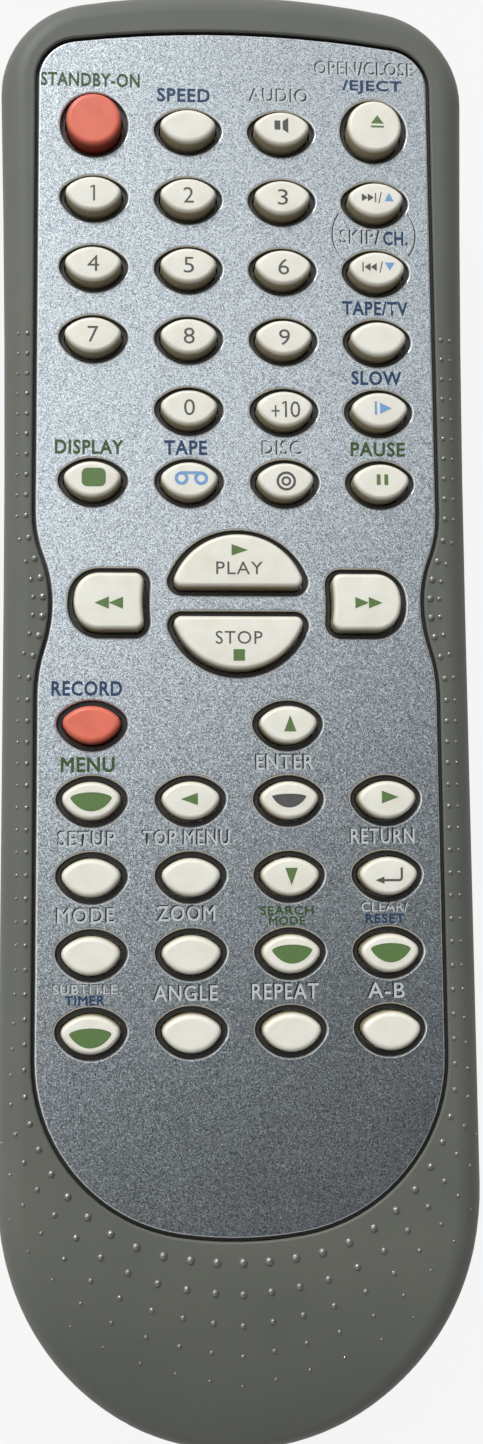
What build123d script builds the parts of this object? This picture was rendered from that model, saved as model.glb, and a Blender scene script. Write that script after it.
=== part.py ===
from build123d import *
import math
import os
from collections.abc import Callable
from dataclasses import dataclass

# An infrared hand control for a combined tape and disc player. It lies on its back, keys up:
# X across, +Y to the end that sends, Z up from the table, origin under the middle of the case.

os.makedirs("parts", exist_ok=True)

# How far a cutting form runs past the face it cuts
cut_over = 1.0

# Key field: four columns, and a block of rows above and below the play cluster
column_pitch = 12.5
row_pitch = 9.64
cluster_drop = 15.9

# Small key: an arc above its widest line and a deeper one below, joined by round corners
key_width = 7.35
key_upper = 2.2
key_lower = 2.65
key_corner = 1.2
round_key_diameter = 7.3
round_key_rise = 0.7

# Play cluster: two halves of a disc with a wind key on each side
disc_radius = 8.85
disc_split = 3.75
disc_corner = 1.0
wind_inner = 11.9
wind_length = 9.2
wind_height = 7.45
wind_bulge = 1.6
wind_sag = 0.4
wind_outer_corner = 3.2
wind_inner_corner = 1.2

# Key section
key_proud = 1.7
key_edge_round = 0.7
key_travel = 1.2
key_clearance = 0.25
hole_step = 0.6
flange_width = 0.7
flange_thickness = 1.0
flange_gap = 0.05
plunger_diameter = 4.4
plunger_gap = 0.05
mat_hole_gap = 0.5

# Face plate
plate_thickness = 0.8
plate_sink = 0.15
plate_groove = 0.45
plate_margin_upper = 7.35
plate_margin_lower = 6.95
plate_margin_waist = 5.1
waist_reach = 12.0
first_row_inset = 14.0
last_row_inset = 25.0
plate_front_radius = 150.0
plate_front_corner = 5.5
plate_back_radius = 48.0
plate_back_corner = 21.5
plate_edge_round = 0.25

# Case
front_rim = 6.9
palm_length = 27.7
lip_flat = 0.4
rim_round = 3.4
base_round = 7.0
shoulder_flare = 1.3
shoulder_radius = 13.0
front_radius = 115.0
palm_flank_radius = 34.8
palm_tip_radius = 27.0
palm_drop = 6.8
palm_start = 1.0
wall = 2.2
face_wall = 1.8
split_height = 12.0
lip_thickness = 0.95
lip_height = 1.5
lip_clearance = 0.15
lip_round = 0.3

# Cells, tray and door
cell_diameter = 14.2
cell_length = 50.5
cell_gap = 1.0
cell_clearance = 0.1
nub_diameter = 5.5
nub_length = 1.0
cell_edge_round = 0.4
bay_inset = 13.5
bay_side_room = 1.3
tray_wall = 1.4
tray_roof = 0.8
tray_end_foot = 1.2
contact_thickness = 0.4
contact_width = 10.0
contact_height = 9.0
contact_tail = 2.4
tail_gap = 0.3
spring_length = 5.0
spring_diameter = 6.4
spring_wire = 0.8
spring_turns = 4
spring_bite = 0.2
door_thickness = 2.2
door_lift = 0.1
door_clearance = 0.25
door_rise = 8.0
rail_width = 0.9
rail_thickness = 0.7
rail_clearance = 0.2
thumb_rib_count = 5
thumb_rib_pitch = 1.8
thumb_rib_length = 14.0
thumb_rib_width = 0.9
thumb_rib_depth = 0.4
thumb_rib_inset = 12.0

# Board, mat and the parts soldered under the board
board_thickness = 1.2
board_gap = 0.1
board_side_margin = 5.5
board_end_margin = 8.4
board_corner = 3.0
mat_thickness = 0.9
mat_inset = 0.6
mat_clearance = 0.1
mat_post_diameter = 2.0
board_post_diameter = 4.0
board_post_inset = 3.0
led_diameter = 5.0
led_length = 8.6
led_flange_diameter = 5.8
led_flange_thickness = 1.0
led_recess = 0.5
led_drop = 1.2
led_clearance = 0.15
lead_pitch = 2.54
lead_width = 0.5
lead_inset = 1.2
chip_from_front = 40.0
chip_length = 17.9
chip_width = 7.5
chip_thickness = 2.3
chip_standoff = 0.2
chip_pins_per_side = 14
chip_pin_pitch = 1.27
chip_pin_width = 0.42
chip_pin_thickness = 0.25
chip_pin_reach = 1.4
resonator_from_front = 30.0
resonator_x = -14.0
resonator_length = 7.4
resonator_width = 3.2
resonator_height = 7.6
resonator_round = 1.0
capacitor_from_front = 20.0
capacitor_x = 12.0
capacitor_diameter = 6.3
capacitor_height = 9.0
transistor_from_front = 12.0
transistor_x = -7.0
transistor_diameter = 4.6
transistor_flat = 1.3
transistor_height = 4.7
component_gap = 1.2

# Case screw, in the column beside the record key where the face has no key
screw_diameter = 2.6
screw_head_diameter = 5.2
screw_head_height = 2.0
screw_head_depth = 3.0
screw_length = 14.0
screw_tip = 1.5
screw_slot_length = 3.6
screw_slot_width = 0.8
screw_slot_depth = 1.0
screw_clearance = 0.05
screw_room = 0.2
top_boss_diameter = 6.0
base_boss_diameter = 7.4
boss_height = 13.0
boss_gap = 0.05
boss_hole_gap = 0.4

upper_block = [
    ["standby", "speed", "audio", "eject"],
    ["digit_1", "digit_2", "digit_3", "skip_forward"],
    ["digit_4", "digit_5", "digit_6", "skip_back"],
    ["digit_7", "digit_8", "digit_9", "tv_select"],
    [None, "digit_0", "plus_ten", "slow"],
    ["display", "tape", "disc", "pause"],
]
lower_block = [
    ["record", None, "up", None],
    ["menu", "left", "enter", "right"],
    ["setup", "top_menu", "down", "return"],
    ["mode", "zoom", "search", "clear"],
    ["subtitle", "angle", "repeat", "a_to_b"],
]
round_keys = ["standby", "eject"]
columns = len(upper_block[0])

# Places along the length, from the sending end to the palm
upper_span = (len(upper_block) - 1) * row_pitch
lower_span = (len(lower_block) - 1) * row_pitch
plate_length = first_row_inset + upper_span + 2 * cluster_drop + lower_span + last_row_inset
case_length = front_rim + plate_length + palm_length
case_front = case_length / 2
case_back = -case_length / 2
plate_front = case_front - front_rim
plate_back = plate_front - plate_length
first_row = plate_front - first_row_inset
cluster_row = first_row - upper_span - cluster_drop
second_block_row = cluster_row - cluster_drop
last_row = second_block_row - lower_span
palm_tip_y = case_back + palm_tip_radius

# Places across the width
outer_column = (columns - 1) / 2 * column_pitch
plate_upper_half = outer_column + plate_margin_upper
plate_lower_half = outer_column + plate_margin_lower
plate_waist_half = outer_column + plate_margin_waist
case_half = plate_upper_half + plate_groove + lip_flat + rim_round
shoulder_half = case_half + shoulder_flare

# Heights, from the table up
cell_axis = door_lift + door_thickness + cell_clearance + cell_diameter / 2
tray_ceiling = cell_axis + cell_diameter / 2 + cell_clearance
tray_top = tray_ceiling + tray_roof
board_base = tray_top + board_gap
board_top = board_base + board_thickness
led_height = board_base - led_drop
mat_top = board_top + mat_thickness
flange_base = mat_top + key_travel + mat_clearance
flange_top = flange_base + flange_thickness
face_underside = flange_top + flange_gap
recess_floor = face_underside + face_wall
plate_top = recess_floor + plate_thickness
case_top = plate_top + plate_sink
key_top = plate_top + key_proud
plunger_base = board_top + plunger_gap + key_travel

# Battery bay
cell_offset = (cell_diameter + cell_gap) / 2
bay_half = cell_offset + cell_diameter / 2 + bay_side_room
bay_back = case_back + bay_inset
bay_length = cell_length + spring_length + 2 * contact_thickness
bay_front = bay_back + bay_length
door_half = bay_half - door_clearance
door_front = bay_front - door_clearance
tray_end_base = door_lift + door_thickness + tray_end_foot
rail_base = door_lift + (door_thickness - rail_thickness) / 2

# Board
board_half = outer_column + board_side_margin
board_front = first_row + board_end_margin
board_back = last_row - board_end_margin
board_length = board_front - board_back
board_middle = (board_front + board_back) / 2
screw_x = -column_pitch / 2
screw_y = second_block_row
screw_seat = screw_head_depth + screw_head_height


def pick_outline(margin: float) -> Sketch:
    """Outline of a small key, drawn out by margin: flatter above, deeper below."""
    widest = (key_lower - key_upper) / 2
    corner_x = key_width / 2 - key_corner
    corner = key_corner + margin

    def arc_end(depth: float) -> tuple[float, float, float]:
        """Where the arc of a side, depth away from the widest line, runs into the corner's arc."""
        radius = (corner_x**2 + depth**2 - key_corner**2) / (2 * (depth - key_corner))
        rise = radius - depth
        reach = corner / (radius - key_corner)
        return corner_x * (1 + reach), rise * reach, depth + margin

    upper_x, upper_y, upper_top = arc_end(key_upper)
    lower_x, lower_y, lower_top = arc_end(key_lower)
    with BuildSketch() as outline:
        with BuildLine():
            upper_right = (upper_x, widest + upper_y)
            upper_left = (-upper_x, widest + upper_y)
            lower_right = (lower_x, widest - lower_y)
            lower_left = (-lower_x, widest - lower_y)
            ThreePointArc(upper_left, (0, widest + upper_top), upper_right)
            ThreePointArc(upper_right, (corner_x + corner, widest), lower_right)
            ThreePointArc(lower_right, (0, widest - lower_top), lower_left)
            ThreePointArc(lower_left, (-corner_x - corner, widest), upper_left)
        make_face()
    return outline.sketch


def round_outline(margin: float) -> Sketch:
    """Outline of a round key, drawn out by margin."""
    with BuildSketch() as outline:
        Circle(round_key_diameter / 2 + margin)
    return outline.sketch


def half_disc_outline(margin: float) -> Sketch:
    """Outline of the upper half of the play disc, drawn out by margin."""
    radius = disc_radius + margin
    chord = disc_split / 2 - margin
    half = math.sqrt(radius**2 - chord**2)
    with BuildSketch() as outline:
        with BuildLine():
            ThreePointArc((-half, chord), (0, radius), (half, chord))
            Line((half, chord), (-half, chord))
        make_face()
        fillet(outline.vertices(), disc_corner + margin)
    return outline.sketch


def wind_outline(margin: float) -> Sketch:
    """Outline of the right-hand wind key, drawn out by margin: a round nose and a hollow inner side."""
    half = wind_height / 2 + margin
    inner = -wind_length / 2 - margin
    outer = wind_length / 2 + margin
    with BuildSketch() as outline:
        with BuildLine():
            Line((outer - wind_bulge, half), (inner, half))
            ThreePointArc((inner, half), (inner + wind_sag, 0), (inner, -half))
            Line((inner, -half), (outer - wind_bulge, -half))
            ThreePointArc((outer - wind_bulge, -half), (outer, 0), (outer - wind_bulge, half))
        make_face()
        fillet(outline.vertices().group_by(Axis.X)[0], wind_inner_corner + margin)
        fillet(outline.vertices().group_by(Axis.X)[-1], wind_outer_corner + margin)
    return outline.sketch


@dataclass
class Key:
    """A key's place on the face, its outline and its plunger's distance from that place along Y."""

    name: str
    x: float
    y: float
    outline: Callable[[float], Sketch]
    turn: float = 0
    plunger: float = 0


def block_keys(block: list[list[str | None]], front_row: float) -> list[Key]:
    """Keys of one block of rows; a round key stands a little above the middle of its row."""
    found = []
    for row, names in enumerate(block):
        for column, name in enumerate(names):
            x = column * column_pitch - outer_column
            y = front_row - row * row_pitch
            if name in round_keys:
                found.append(Key(name, x, y + round_key_rise, round_outline))
            elif name:
                found.append(Key(name, x, y, pick_outline))
    return found


wind_x = wind_inner + wind_length / 2
disc_plunger = (disc_split / 2 + disc_radius) / 2
cluster_keys = [
    Key("rewind", -wind_x, cluster_row, wind_outline, 180),
    Key("play", 0, cluster_row, half_disc_outline, 0, disc_plunger),
    Key("stop", 0, cluster_row, half_disc_outline, 180, -disc_plunger),
    Key("fast_forward", wind_x, cluster_row, wind_outline),
]
keys = block_keys(upper_block, first_row) + cluster_keys + block_keys(lower_block, second_block_row)


def key_field(margin: float) -> Sketch:
    """Every key's outline in its place on the face, drawn out by margin."""
    with BuildSketch() as field:
        for key in keys:
            with Locations((key.x, key.y)):
                add(key.outline(margin), rotation=key.turn)
    return field.sketch


def plate_outline(margin: float) -> Sketch:
    """Outline of the face plate, drawn out by margin: its sides draw in beside the play cluster."""
    upper = plate_upper_half + margin
    lower = plate_lower_half + margin
    waist = plate_waist_half + margin
    front_curve = plate_front_radius + margin
    back_curve = plate_back_radius + margin
    front_corner = plate_front - plate_front_radius + math.sqrt(front_curve**2 - upper**2)
    back_corner = plate_back + plate_back_radius - math.sqrt(back_curve**2 - lower**2)
    bend_front = cluster_row + waist_reach
    bend_back = cluster_row - waist_reach
    with BuildSketch() as outline:
        with BuildLine():
            Line((upper, front_corner), (upper, bend_front))
            middle = ((upper + waist) / 2, (bend_front + cluster_row) / 2)
            bend_in = TangentArc((upper, bend_front), middle, tangent=(0, -1))
            TangentArc(middle, (waist, cluster_row), tangent=bend_in % 1)
            middle = ((waist + lower) / 2, (cluster_row + bend_back) / 2)
            bend_out = TangentArc((waist, cluster_row), middle, tangent=(0, -1))
            TangentArc(middle, (lower, bend_back), tangent=bend_out % 1)
            Line((lower, bend_back), (lower, back_corner))
            mirror(about=Plane.YZ)
            ThreePointArc((-upper, front_corner), (0, plate_front + margin), (upper, front_corner))
            ThreePointArc((-lower, back_corner), (0, plate_back - margin), (lower, back_corner))
        make_face()
        fillet(outline.vertices().group_by(Axis.Y)[-1], plate_front_corner + margin)
        fillet(outline.vertices().group_by(Axis.Y)[0], plate_back_corner + margin)
    return outline.sketch


def case_outline(inset: float) -> Sketch:
    """Outline of the case from above, drawn in by inset: wide arched front, rounded palm end."""
    half = case_half - inset
    shoulder = shoulder_half - inset
    curve = front_radius - inset
    corner = case_front - front_radius + math.sqrt(curve**2 - shoulder**2)
    flank_x = case_half - palm_flank_radius
    flank_y = palm_tip_y + math.sqrt((palm_flank_radius - palm_tip_radius) ** 2 - flank_x**2)
    reach = (palm_flank_radius - inset) / (palm_flank_radius - palm_tip_radius)
    join = (flank_x - flank_x * reach, flank_y + (palm_tip_y - flank_y) * reach)
    with BuildSketch() as outline:
        with BuildLine():
            Line((half, flank_y), (half, cluster_row))
            TangentArc((half, cluster_row), (shoulder, corner), tangent=(0, 1))
            TangentArc((half, flank_y), join, tangent=(0, -1))
            mirror(about=Plane.YZ)
            ThreePointArc((-shoulder, corner), (0, case_front - inset), (shoulder, corner))
            ThreePointArc((-join[0], join[1]), (0, case_back + inset), join)
        make_face()
        fillet(outline.vertices().group_by(Axis.Y)[-1], shoulder_radius - inset)
    return outline.sketch


def case_form(inset: float, base: float, top: float) -> Part:
    """Closed form of the case, drawn in by inset at the sides, its crown falling over the palm."""
    dome_start = plate_back - plate_groove - palm_start
    dome_run = dome_start - case_back
    dome_radius = (dome_run**2 + palm_drop**2) / (2 * palm_drop) - (case_top - top)
    dome_end = case_back - cut_over
    dome_low = top - dome_radius + math.sqrt(dome_radius**2 - (dome_start - dome_end) ** 2)
    with BuildPart() as form:
        with BuildSketch(Plane.XY.offset(base)):
            add(case_outline(inset))
        extrude(amount=top - base)
        with BuildSketch(Plane.YZ):
            with BuildLine():
                TangentArc((dome_start, top), (dome_end, dome_low), tangent=(-1, 0))
                Polyline(
                    (dome_end, dome_low),
                    (dome_end, top + cut_over),
                    (dome_start, top + cut_over),
                    (dome_start, top),
                )
            make_face()
        extrude(amount=2 * shoulder_half, both=True, mode=Mode.SUBTRACT)
        crown = form.faces().filter_by(lambda face: face.normal_at().Z > 0.5)
        fillet(crown.edges().filter_by(Axis.X, reverse=True), rim_round - inset)
        floor = form.faces().sort_by(Axis.Z)[0]
        fillet(floor.edges(), base_round - inset)
    return form.part


def plain_block(width: float, back: float, front: float, base: float, top: float) -> Part:
    """Block centred on X, between two places along Y and two heights."""
    with BuildPart() as block:
        with BuildSketch(Plane.XY.offset(base)):
            with Locations((0, (back + front) / 2)):
                Rectangle(width, front - back)
        extrude(amount=top - base)
    return block.part


def post_places() -> list[tuple[float, float]]:
    """Middles of the squares between four small keys, where the face presses on the mat."""
    places = []
    for front_row, block in ((first_row, upper_block), (second_block_row, lower_block)):
        for row in range(len(block) - 1):
            for column in range(columns - 1):
                x = (column + 0.5) * column_pitch - outer_column
                y = front_row - (row + 0.5) * row_pitch
                places.append((x, y))
    return places


def board_outline(inset: float) -> Sketch:
    """Outline of the circuit board, drawn in by inset."""
    with BuildSketch() as outline:
        with Locations((0, board_middle)):
            RectangleRounded(2 * (board_half - inset), board_length - 2 * inset, board_corner - inset)
    return outline.sketch


def half_skin(keep: Keep) -> Part:
    """Upper or lower half of the hollow case."""
    with BuildPart() as skin:
        add(case_form(0, 0, case_top))
        split(bisect_by=Plane.XY.offset(split_height), keep=keep)
        add(case_form(wall, wall, face_underside), mode=Mode.SUBTRACT)
    return skin.part


def lamp_bore() -> Part:
    """The lamp's clear way through the front wall and the lip behind it."""
    with BuildPart() as bore:
        with BuildSketch(Plane.XZ.offset(-case_front)):
            with Locations((0, led_height)):
                Circle(led_diameter / 2 + led_clearance)
        extrude(amount=2 * wall)
    return bore.part


def finish(piece: BuildPart, name: str) -> None:
    """Label a finished piece and write it out under its name."""
    piece.part.label = name
    export_step(piece.part, f"parts/{name}.step")


# Top shell: the upper half of the case with the plate's recess, the key holes and the lamp's bore
with BuildPart() as top_shell:
    add(half_skin(Keep.TOP))
    with BuildSketch(Plane.XY.offset(split_height)):
        add(case_outline(wall - lip_thickness - lip_clearance))
    extrude(amount=lip_height + lip_clearance, mode=Mode.SUBTRACT)
    with BuildSketch(Plane.XY.offset(recess_floor)):
        add(plate_outline(plate_groove))
    extrude(amount=case_top - recess_floor, mode=Mode.SUBTRACT)
    rim_face = top_shell.faces().filter_by(Axis.Z).sort_by(Axis.Z)[-1]
    fillet(rim_face.inner_wires()[0].edges(), lip_round)
    with BuildSketch(Plane.XY.offset(face_underside)):
        add(key_field(key_clearance))
    extrude(amount=face_wall, mode=Mode.SUBTRACT)
    with BuildSketch(Plane.XY.offset(mat_top)):
        with Locations(*post_places()):
            Circle(mat_post_diameter / 2)
    extrude(amount=face_underside - mat_top)
    with BuildSketch(Plane.XY.offset(boss_height + boss_gap)):
        with Locations((screw_x, screw_y)):
            Circle(top_boss_diameter / 2)
    extrude(amount=face_underside - boss_height - boss_gap)
    with Locations(Location((screw_x, screw_y, boss_height), (180, 0, 0))):
        Hole(screw_diameter / 2 + screw_clearance, screw_seat + screw_length + screw_tip - boss_height)
    add(lamp_bore(), mode=Mode.SUBTRACT)
finish(top_shell, "top_shell")

# Bottom shell: the lower half with its lip, the battery tray, the door's opening and the rails
tray_back = bay_back - tray_wall
with BuildPart() as bottom_shell:
    add(plain_block(2 * (bay_half + tray_wall), tray_back, bay_front + tray_wall, 0, tray_top))
    add(case_form(wall / 2, wall / 2, case_top), mode=Mode.INTERSECT)
    add(half_skin(Keep.BOTTOM))
    with BuildSketch(Plane.XY.offset(split_height)):
        add(case_outline(wall - lip_thickness))
        add(case_outline(wall), mode=Mode.SUBTRACT)
    extrude(amount=lip_height)
    add(lamp_bore(), mode=Mode.SUBTRACT)
    slot_back = case_back - cut_over
    slot_end = tray_back - door_clearance
    add(plain_block(2 * bay_half, bay_back, bay_front, -cut_over, tray_ceiling), mode=Mode.SUBTRACT)
    add(plain_block(2 * bay_half, slot_back, bay_front, -cut_over, tray_end_base), mode=Mode.SUBTRACT)
    add(plain_block(2 * bay_half, slot_back, slot_end, -cut_over, door_rise), mode=Mode.SUBTRACT)
    with BuildSketch(Plane.XY.offset(rail_base)):
        with Locations((0, (bay_back + bay_front) / 2)):
            with GridLocations(2 * bay_half - rail_width, 0, 2, 1):
                Rectangle(rail_width, bay_length)
    extrude(amount=rail_thickness)
    with BuildSketch(Plane.XY.offset(tray_ceiling)):
        with Locations((0, bay_front - contact_thickness / 2 - tail_gap / 2)):
            with GridLocations(2 * cell_offset, 0, 2, 1):
                Rectangle(contact_tail + 2 * tail_gap, contact_thickness + tail_gap)
    extrude(amount=tray_roof, mode=Mode.SUBTRACT)
    with BuildSketch(Plane.XY.offset(wall)):
        with Locations((screw_x, screw_y)):
            Circle(base_boss_diameter / 2)
    extrude(amount=boss_height - wall)
    with Locations(Location((screw_x, screw_y, 0), (180, 0, 0))):
        CounterBoreHole(
            screw_diameter / 2 + screw_room,
            screw_head_diameter / 2 + screw_room,
            screw_seat,
            boss_height,
        )
    post_x = board_half - board_post_inset
    with BuildSketch(Plane.XY.offset(wall)):
        with Locations((0, board_front - board_post_inset), (0, cluster_row)):
            with GridLocations(2 * post_x, 0, 2, 1):
                Circle(board_post_diameter / 2)
    extrude(amount=board_base - wall)
finish(bottom_shell, "bottom_shell")

# Face plate: a thin metal-look sheet in the recess, its edges and holes eased
with BuildPart() as faceplate:
    with BuildSketch(Plane.XY.offset(recess_floor)):
        add(plate_outline(0))
        add(key_field(key_clearance + hole_step), mode=Mode.SUBTRACT)
    extrude(amount=plate_thickness)
    fillet(faceplate.faces().sort_by(Axis.Z)[-1].edges(), plate_edge_round)
finish(faceplate, "faceplate")

# Keys: each a cap with a flange under the face and a plunger that meets the board
for key in keys:
    with BuildPart() as key_cap:
        with BuildSketch(Plane.XY.offset(flange_base)):
            with Locations((key.x, key.y)):
                add(key.outline(flange_width), rotation=key.turn)
        extrude(amount=flange_thickness)
        with BuildSketch(Plane.XY.offset(flange_base)):
            with Locations((key.x, key.y)):
                add(key.outline(0), rotation=key.turn)
        extrude(amount=key_top - flange_base)
        fillet(key_cap.faces().sort_by(Axis.Z)[-1].edges(), key_edge_round)
        with BuildSketch(Plane.XY.offset(plunger_base)):
            with Locations((key.x, key.y + key.plunger)):
                Circle(plunger_diameter / 2)
        extrude(amount=flange_base - plunger_base)
    finish(key_cap, f"key_{key.name}")

# Key mat: the soft sheet on the board, with a hole under every plunger
with BuildPart() as key_mat:
    with BuildSketch(Plane.XY.offset(board_top)):
        add(board_outline(mat_inset))
        with Locations(*[(key.x, key.y + key.plunger) for key in keys]):
            Circle(plunger_diameter / 2 + mat_hole_gap, mode=Mode.SUBTRACT)
        with Locations((screw_x, screw_y)):
            Circle(top_boss_diameter / 2 + boss_hole_gap, mode=Mode.SUBTRACT)
    extrude(amount=mat_thickness)
finish(key_mat, "key_mat")

# Circuit board
with BuildPart() as circuit_board:
    with BuildSketch(Plane.XY.offset(board_base)):
        add(board_outline(0))
        with Locations((screw_x, screw_y)):
            Circle(top_boss_diameter / 2 + boss_hole_gap, mode=Mode.SUBTRACT)
    extrude(amount=board_thickness)
finish(circuit_board, "circuit_board")

# Controller chip: a small-outline package hung under the board on bent pins
chip_top = board_base - chip_standoff
chip_middle = chip_top - chip_thickness / 2
chip_y = board_front - chip_from_front
with BuildPart() as controller_chip:
    with BuildSketch(Plane.XY.offset(chip_top - chip_thickness)):
        with Locations((0, chip_y)):
            Rectangle(chip_width, chip_length)
    extrude(amount=chip_thickness)
    with BuildSketch(Plane.XY.offset(chip_middle)):
        with Locations((0, chip_y)):
            with GridLocations(0, chip_pin_pitch, 1, chip_pins_per_side):
                Rectangle(chip_width + 2 * chip_pin_reach, chip_pin_width)
    extrude(amount=chip_pin_thickness)
    with BuildSketch(Plane.XY.offset(chip_middle)):
        with Locations((0, chip_y)):
            with GridLocations(chip_width + 2 * chip_pin_reach - chip_pin_thickness, chip_pin_pitch,
                               2, chip_pins_per_side):
                Rectangle(chip_pin_thickness, chip_pin_width)
    extrude(amount=board_base - chip_middle)
finish(controller_chip, "controller_chip")

# Ceramic resonator: a dipped block on two leads
resonator_y = board_front - resonator_from_front
with BuildPart() as ceramic_resonator:
    with BuildSketch(Plane.XY.offset(board_base - component_gap - resonator_height)):
        with Locations((resonator_x, resonator_y)):
            RectangleRounded(resonator_length, resonator_width, resonator_round)
    extrude(amount=resonator_height)
    with BuildSketch(Plane.XY.offset(board_base - component_gap)):
        with Locations((resonator_x, resonator_y)):
            with GridLocations(2 * lead_pitch, 0, 2, 1):
                Rectangle(lead_width, lead_width)
    extrude(amount=component_gap)
finish(ceramic_resonator, "ceramic_resonator")

# Electrolytic capacitor: a can on two leads
capacitor_y = board_front - capacitor_from_front
with BuildPart() as capacitor:
    with BuildSketch(Plane.XY.offset(board_base - component_gap - capacitor_height)):
        with Locations((capacitor_x, capacitor_y)):
            Circle(capacitor_diameter / 2)
    extrude(amount=capacitor_height)
    with BuildSketch(Plane.XY.offset(board_base - component_gap)):
        with Locations((capacitor_x, capacitor_y)):
            with GridLocations(lead_pitch, 0, 2, 1):
                Rectangle(lead_width, lead_width)
    extrude(amount=component_gap)
finish(capacitor, "capacitor")

# Driver transistor: a round package with a flat face, on three leads
transistor_y = board_front - transistor_from_front
with BuildPart() as driver_transistor:
    with BuildSketch(Plane.XY.offset(board_base - component_gap - transistor_height)):
        with Locations((transistor_x, transistor_y)):
            Circle(transistor_diameter / 2)
        with Locations((transistor_x, transistor_y - transistor_flat - transistor_diameter / 2)):
            Rectangle(transistor_diameter, transistor_diameter, mode=Mode.SUBTRACT)
    extrude(amount=transistor_height)
    with BuildSketch(Plane.XY.offset(board_base - component_gap)):
        with Locations((transistor_x, transistor_y)):
            with GridLocations(lead_pitch / 2, 0, 3, 1):
                Rectangle(lead_width, lead_width)
    extrude(amount=component_gap)
finish(driver_transistor, "driver_transistor")

# Sending lamp: a domed lens with a flange, its two leads bent up to the board
led_front = case_front - led_recess
led_back = led_front - led_length
led_lens = led_front - led_diameter / 2
led_collar = led_back + led_flange_thickness
lead_end = board_front - lead_inset
with BuildPart() as ir_led:
    with BuildSketch(Plane.YZ):
        with BuildLine():
            Polyline(
                (led_front, led_height),
                (led_back, led_height),
                (led_back, led_height + led_flange_diameter / 2),
                (led_collar, led_height + led_flange_diameter / 2),
                (led_collar, led_height + led_diameter / 2),
                (led_lens, led_height + led_diameter / 2),
            )
            TangentArc((led_lens, led_height + led_diameter / 2), (led_front, led_height), tangent=(1, 0))
        make_face()
    revolve(axis=Axis((0, 0, led_height), (0, 1, 0)))
    with BuildSketch(Plane.XY.offset(led_height - lead_width / 2)):
        with Locations((0, (lead_end + led_back) / 2)):
            with GridLocations(lead_pitch, 0, 2, 1):
                Rectangle(lead_width, led_back - lead_end)
    extrude(amount=lead_width)
    with BuildSketch(Plane.XY.offset(led_height)):
        with Locations((0, lead_end + lead_width / 2)):
            with GridLocations(lead_pitch, 0, 2, 1):
                Rectangle(lead_width, lead_width)
    extrude(amount=board_base - led_height)
finish(ir_led, "ir_led")

# Two dry cells side by side, the left one with its nub to the front, the right one to the palm
with BuildPart() as aa_cells:
    for x, tip, toward in (
        (-cell_offset, bay_front - contact_thickness, 1),
        (cell_offset, bay_back + contact_thickness, -1),
    ):
        with BuildSketch(Plane.XZ.offset(-tip)):
            with Locations((x, cell_axis)):
                Circle(nub_diameter / 2)
        extrude(amount=toward * nub_length)
        with BuildSketch(Plane.XZ.offset(-tip + toward * nub_length)):
            with Locations((x, cell_axis)):
                Circle(cell_diameter / 2)
        extrude(amount=toward * (cell_length - nub_length))
    rims = aa_cells.edges().filter_by(GeomType.CIRCLE).filter_by(lambda edge: edge.radius > nub_diameter)
    fillet(rims, cell_edge_round)
finish(aa_cells, "aa_cells")


def contact_spring(x: float, plate_face: float, toward: int) -> Part:
    """Coil spring from a contact plate's face to the flat end of a cell; toward is its way along Y."""
    seat = spring_wire * (1 / 2 - spring_bite)
    reach = spring_length - seat - spring_wire / 2 - cell_clearance
    with BuildPart() as spring:
        with BuildLine() as coil:
            Helix(
                pitch=reach / spring_turns,
                height=reach,
                radius=(spring_diameter - spring_wire) / 2,
                center=(x, plate_face + toward * seat, cell_axis),
                direction=(0, toward, 0),
            )
        with BuildSketch(Plane(origin=coil.line @ 0, z_dir=coil.line % 0)):
            Circle(spring_wire / 2)
        sweep(path=coil.line, is_frenet=True)
    return spring.part


# Palm contact: one strip that links the two cells, with the coil for the left one
with BuildPart() as palm_contact:
    strip_base = cell_axis - contact_height / 2
    with BuildSketch(Plane.XY.offset(strip_base)):
        with Locations((0, bay_back + contact_thickness / 2)):
            Rectangle(2 * cell_offset + contact_width, contact_thickness)
    extrude(amount=contact_height)
    add(contact_spring(-cell_offset, bay_back + contact_thickness, 1))
finish(palm_contact, "palm_contact")

# Front contacts: a flat plate and a plate with a coil, each with a tail up to the board
with BuildPart() as front_contacts:
    with BuildSketch(Plane.XY.offset(strip_base)):
        with Locations((0, bay_front - contact_thickness / 2)):
            with GridLocations(2 * cell_offset, 0, 2, 1):
                Rectangle(contact_width, contact_thickness)
    extrude(amount=contact_height)
    with BuildSketch(Plane.XY.offset(strip_base + contact_height)):
        with Locations((0, bay_front - contact_thickness / 2)):
            with GridLocations(2 * cell_offset, 0, 2, 1):
                Rectangle(contact_tail, contact_thickness)
    extrude(amount=board_base - strip_base - contact_height)
    add(contact_spring(cell_offset, bay_front - contact_thickness, -1))
finish(front_contacts, "front_contacts")

# Battery door: the floor under the cells and the palm end below the seam, grooved for the rails
with BuildPart() as battery_door:
    add(case_form(0, 0, case_top))
    add(case_form(door_thickness, door_lift + door_thickness, face_underside), mode=Mode.SUBTRACT)
    add(
        plain_block(2 * door_half, slot_back, door_front, door_lift, door_rise - door_clearance),
        mode=Mode.INTERSECT,
    )
    groove_half = bay_half - rail_width - rail_clearance
    groove_back = bay_back - rail_clearance
    with BuildSketch(Plane.XY.offset(rail_base - rail_clearance)):
        with Locations((0, (groove_back + bay_front) / 2)):
            Rectangle(2 * bay_half, bay_front - groove_back)
            Rectangle(2 * groove_half, bay_front - groove_back, mode=Mode.SUBTRACT)
    extrude(amount=rail_thickness + 2 * rail_clearance, mode=Mode.SUBTRACT)
    with BuildSketch(Plane.XY.offset(door_lift)):
        with Locations((0, case_back + thumb_rib_inset)):
            with GridLocations(0, thumb_rib_pitch, 1, thumb_rib_count):
                SlotOverall(thumb_rib_length, thumb_rib_width)
    extrude(amount=thumb_rib_depth, mode=Mode.SUBTRACT)
finish(battery_door, "battery_door")

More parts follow.
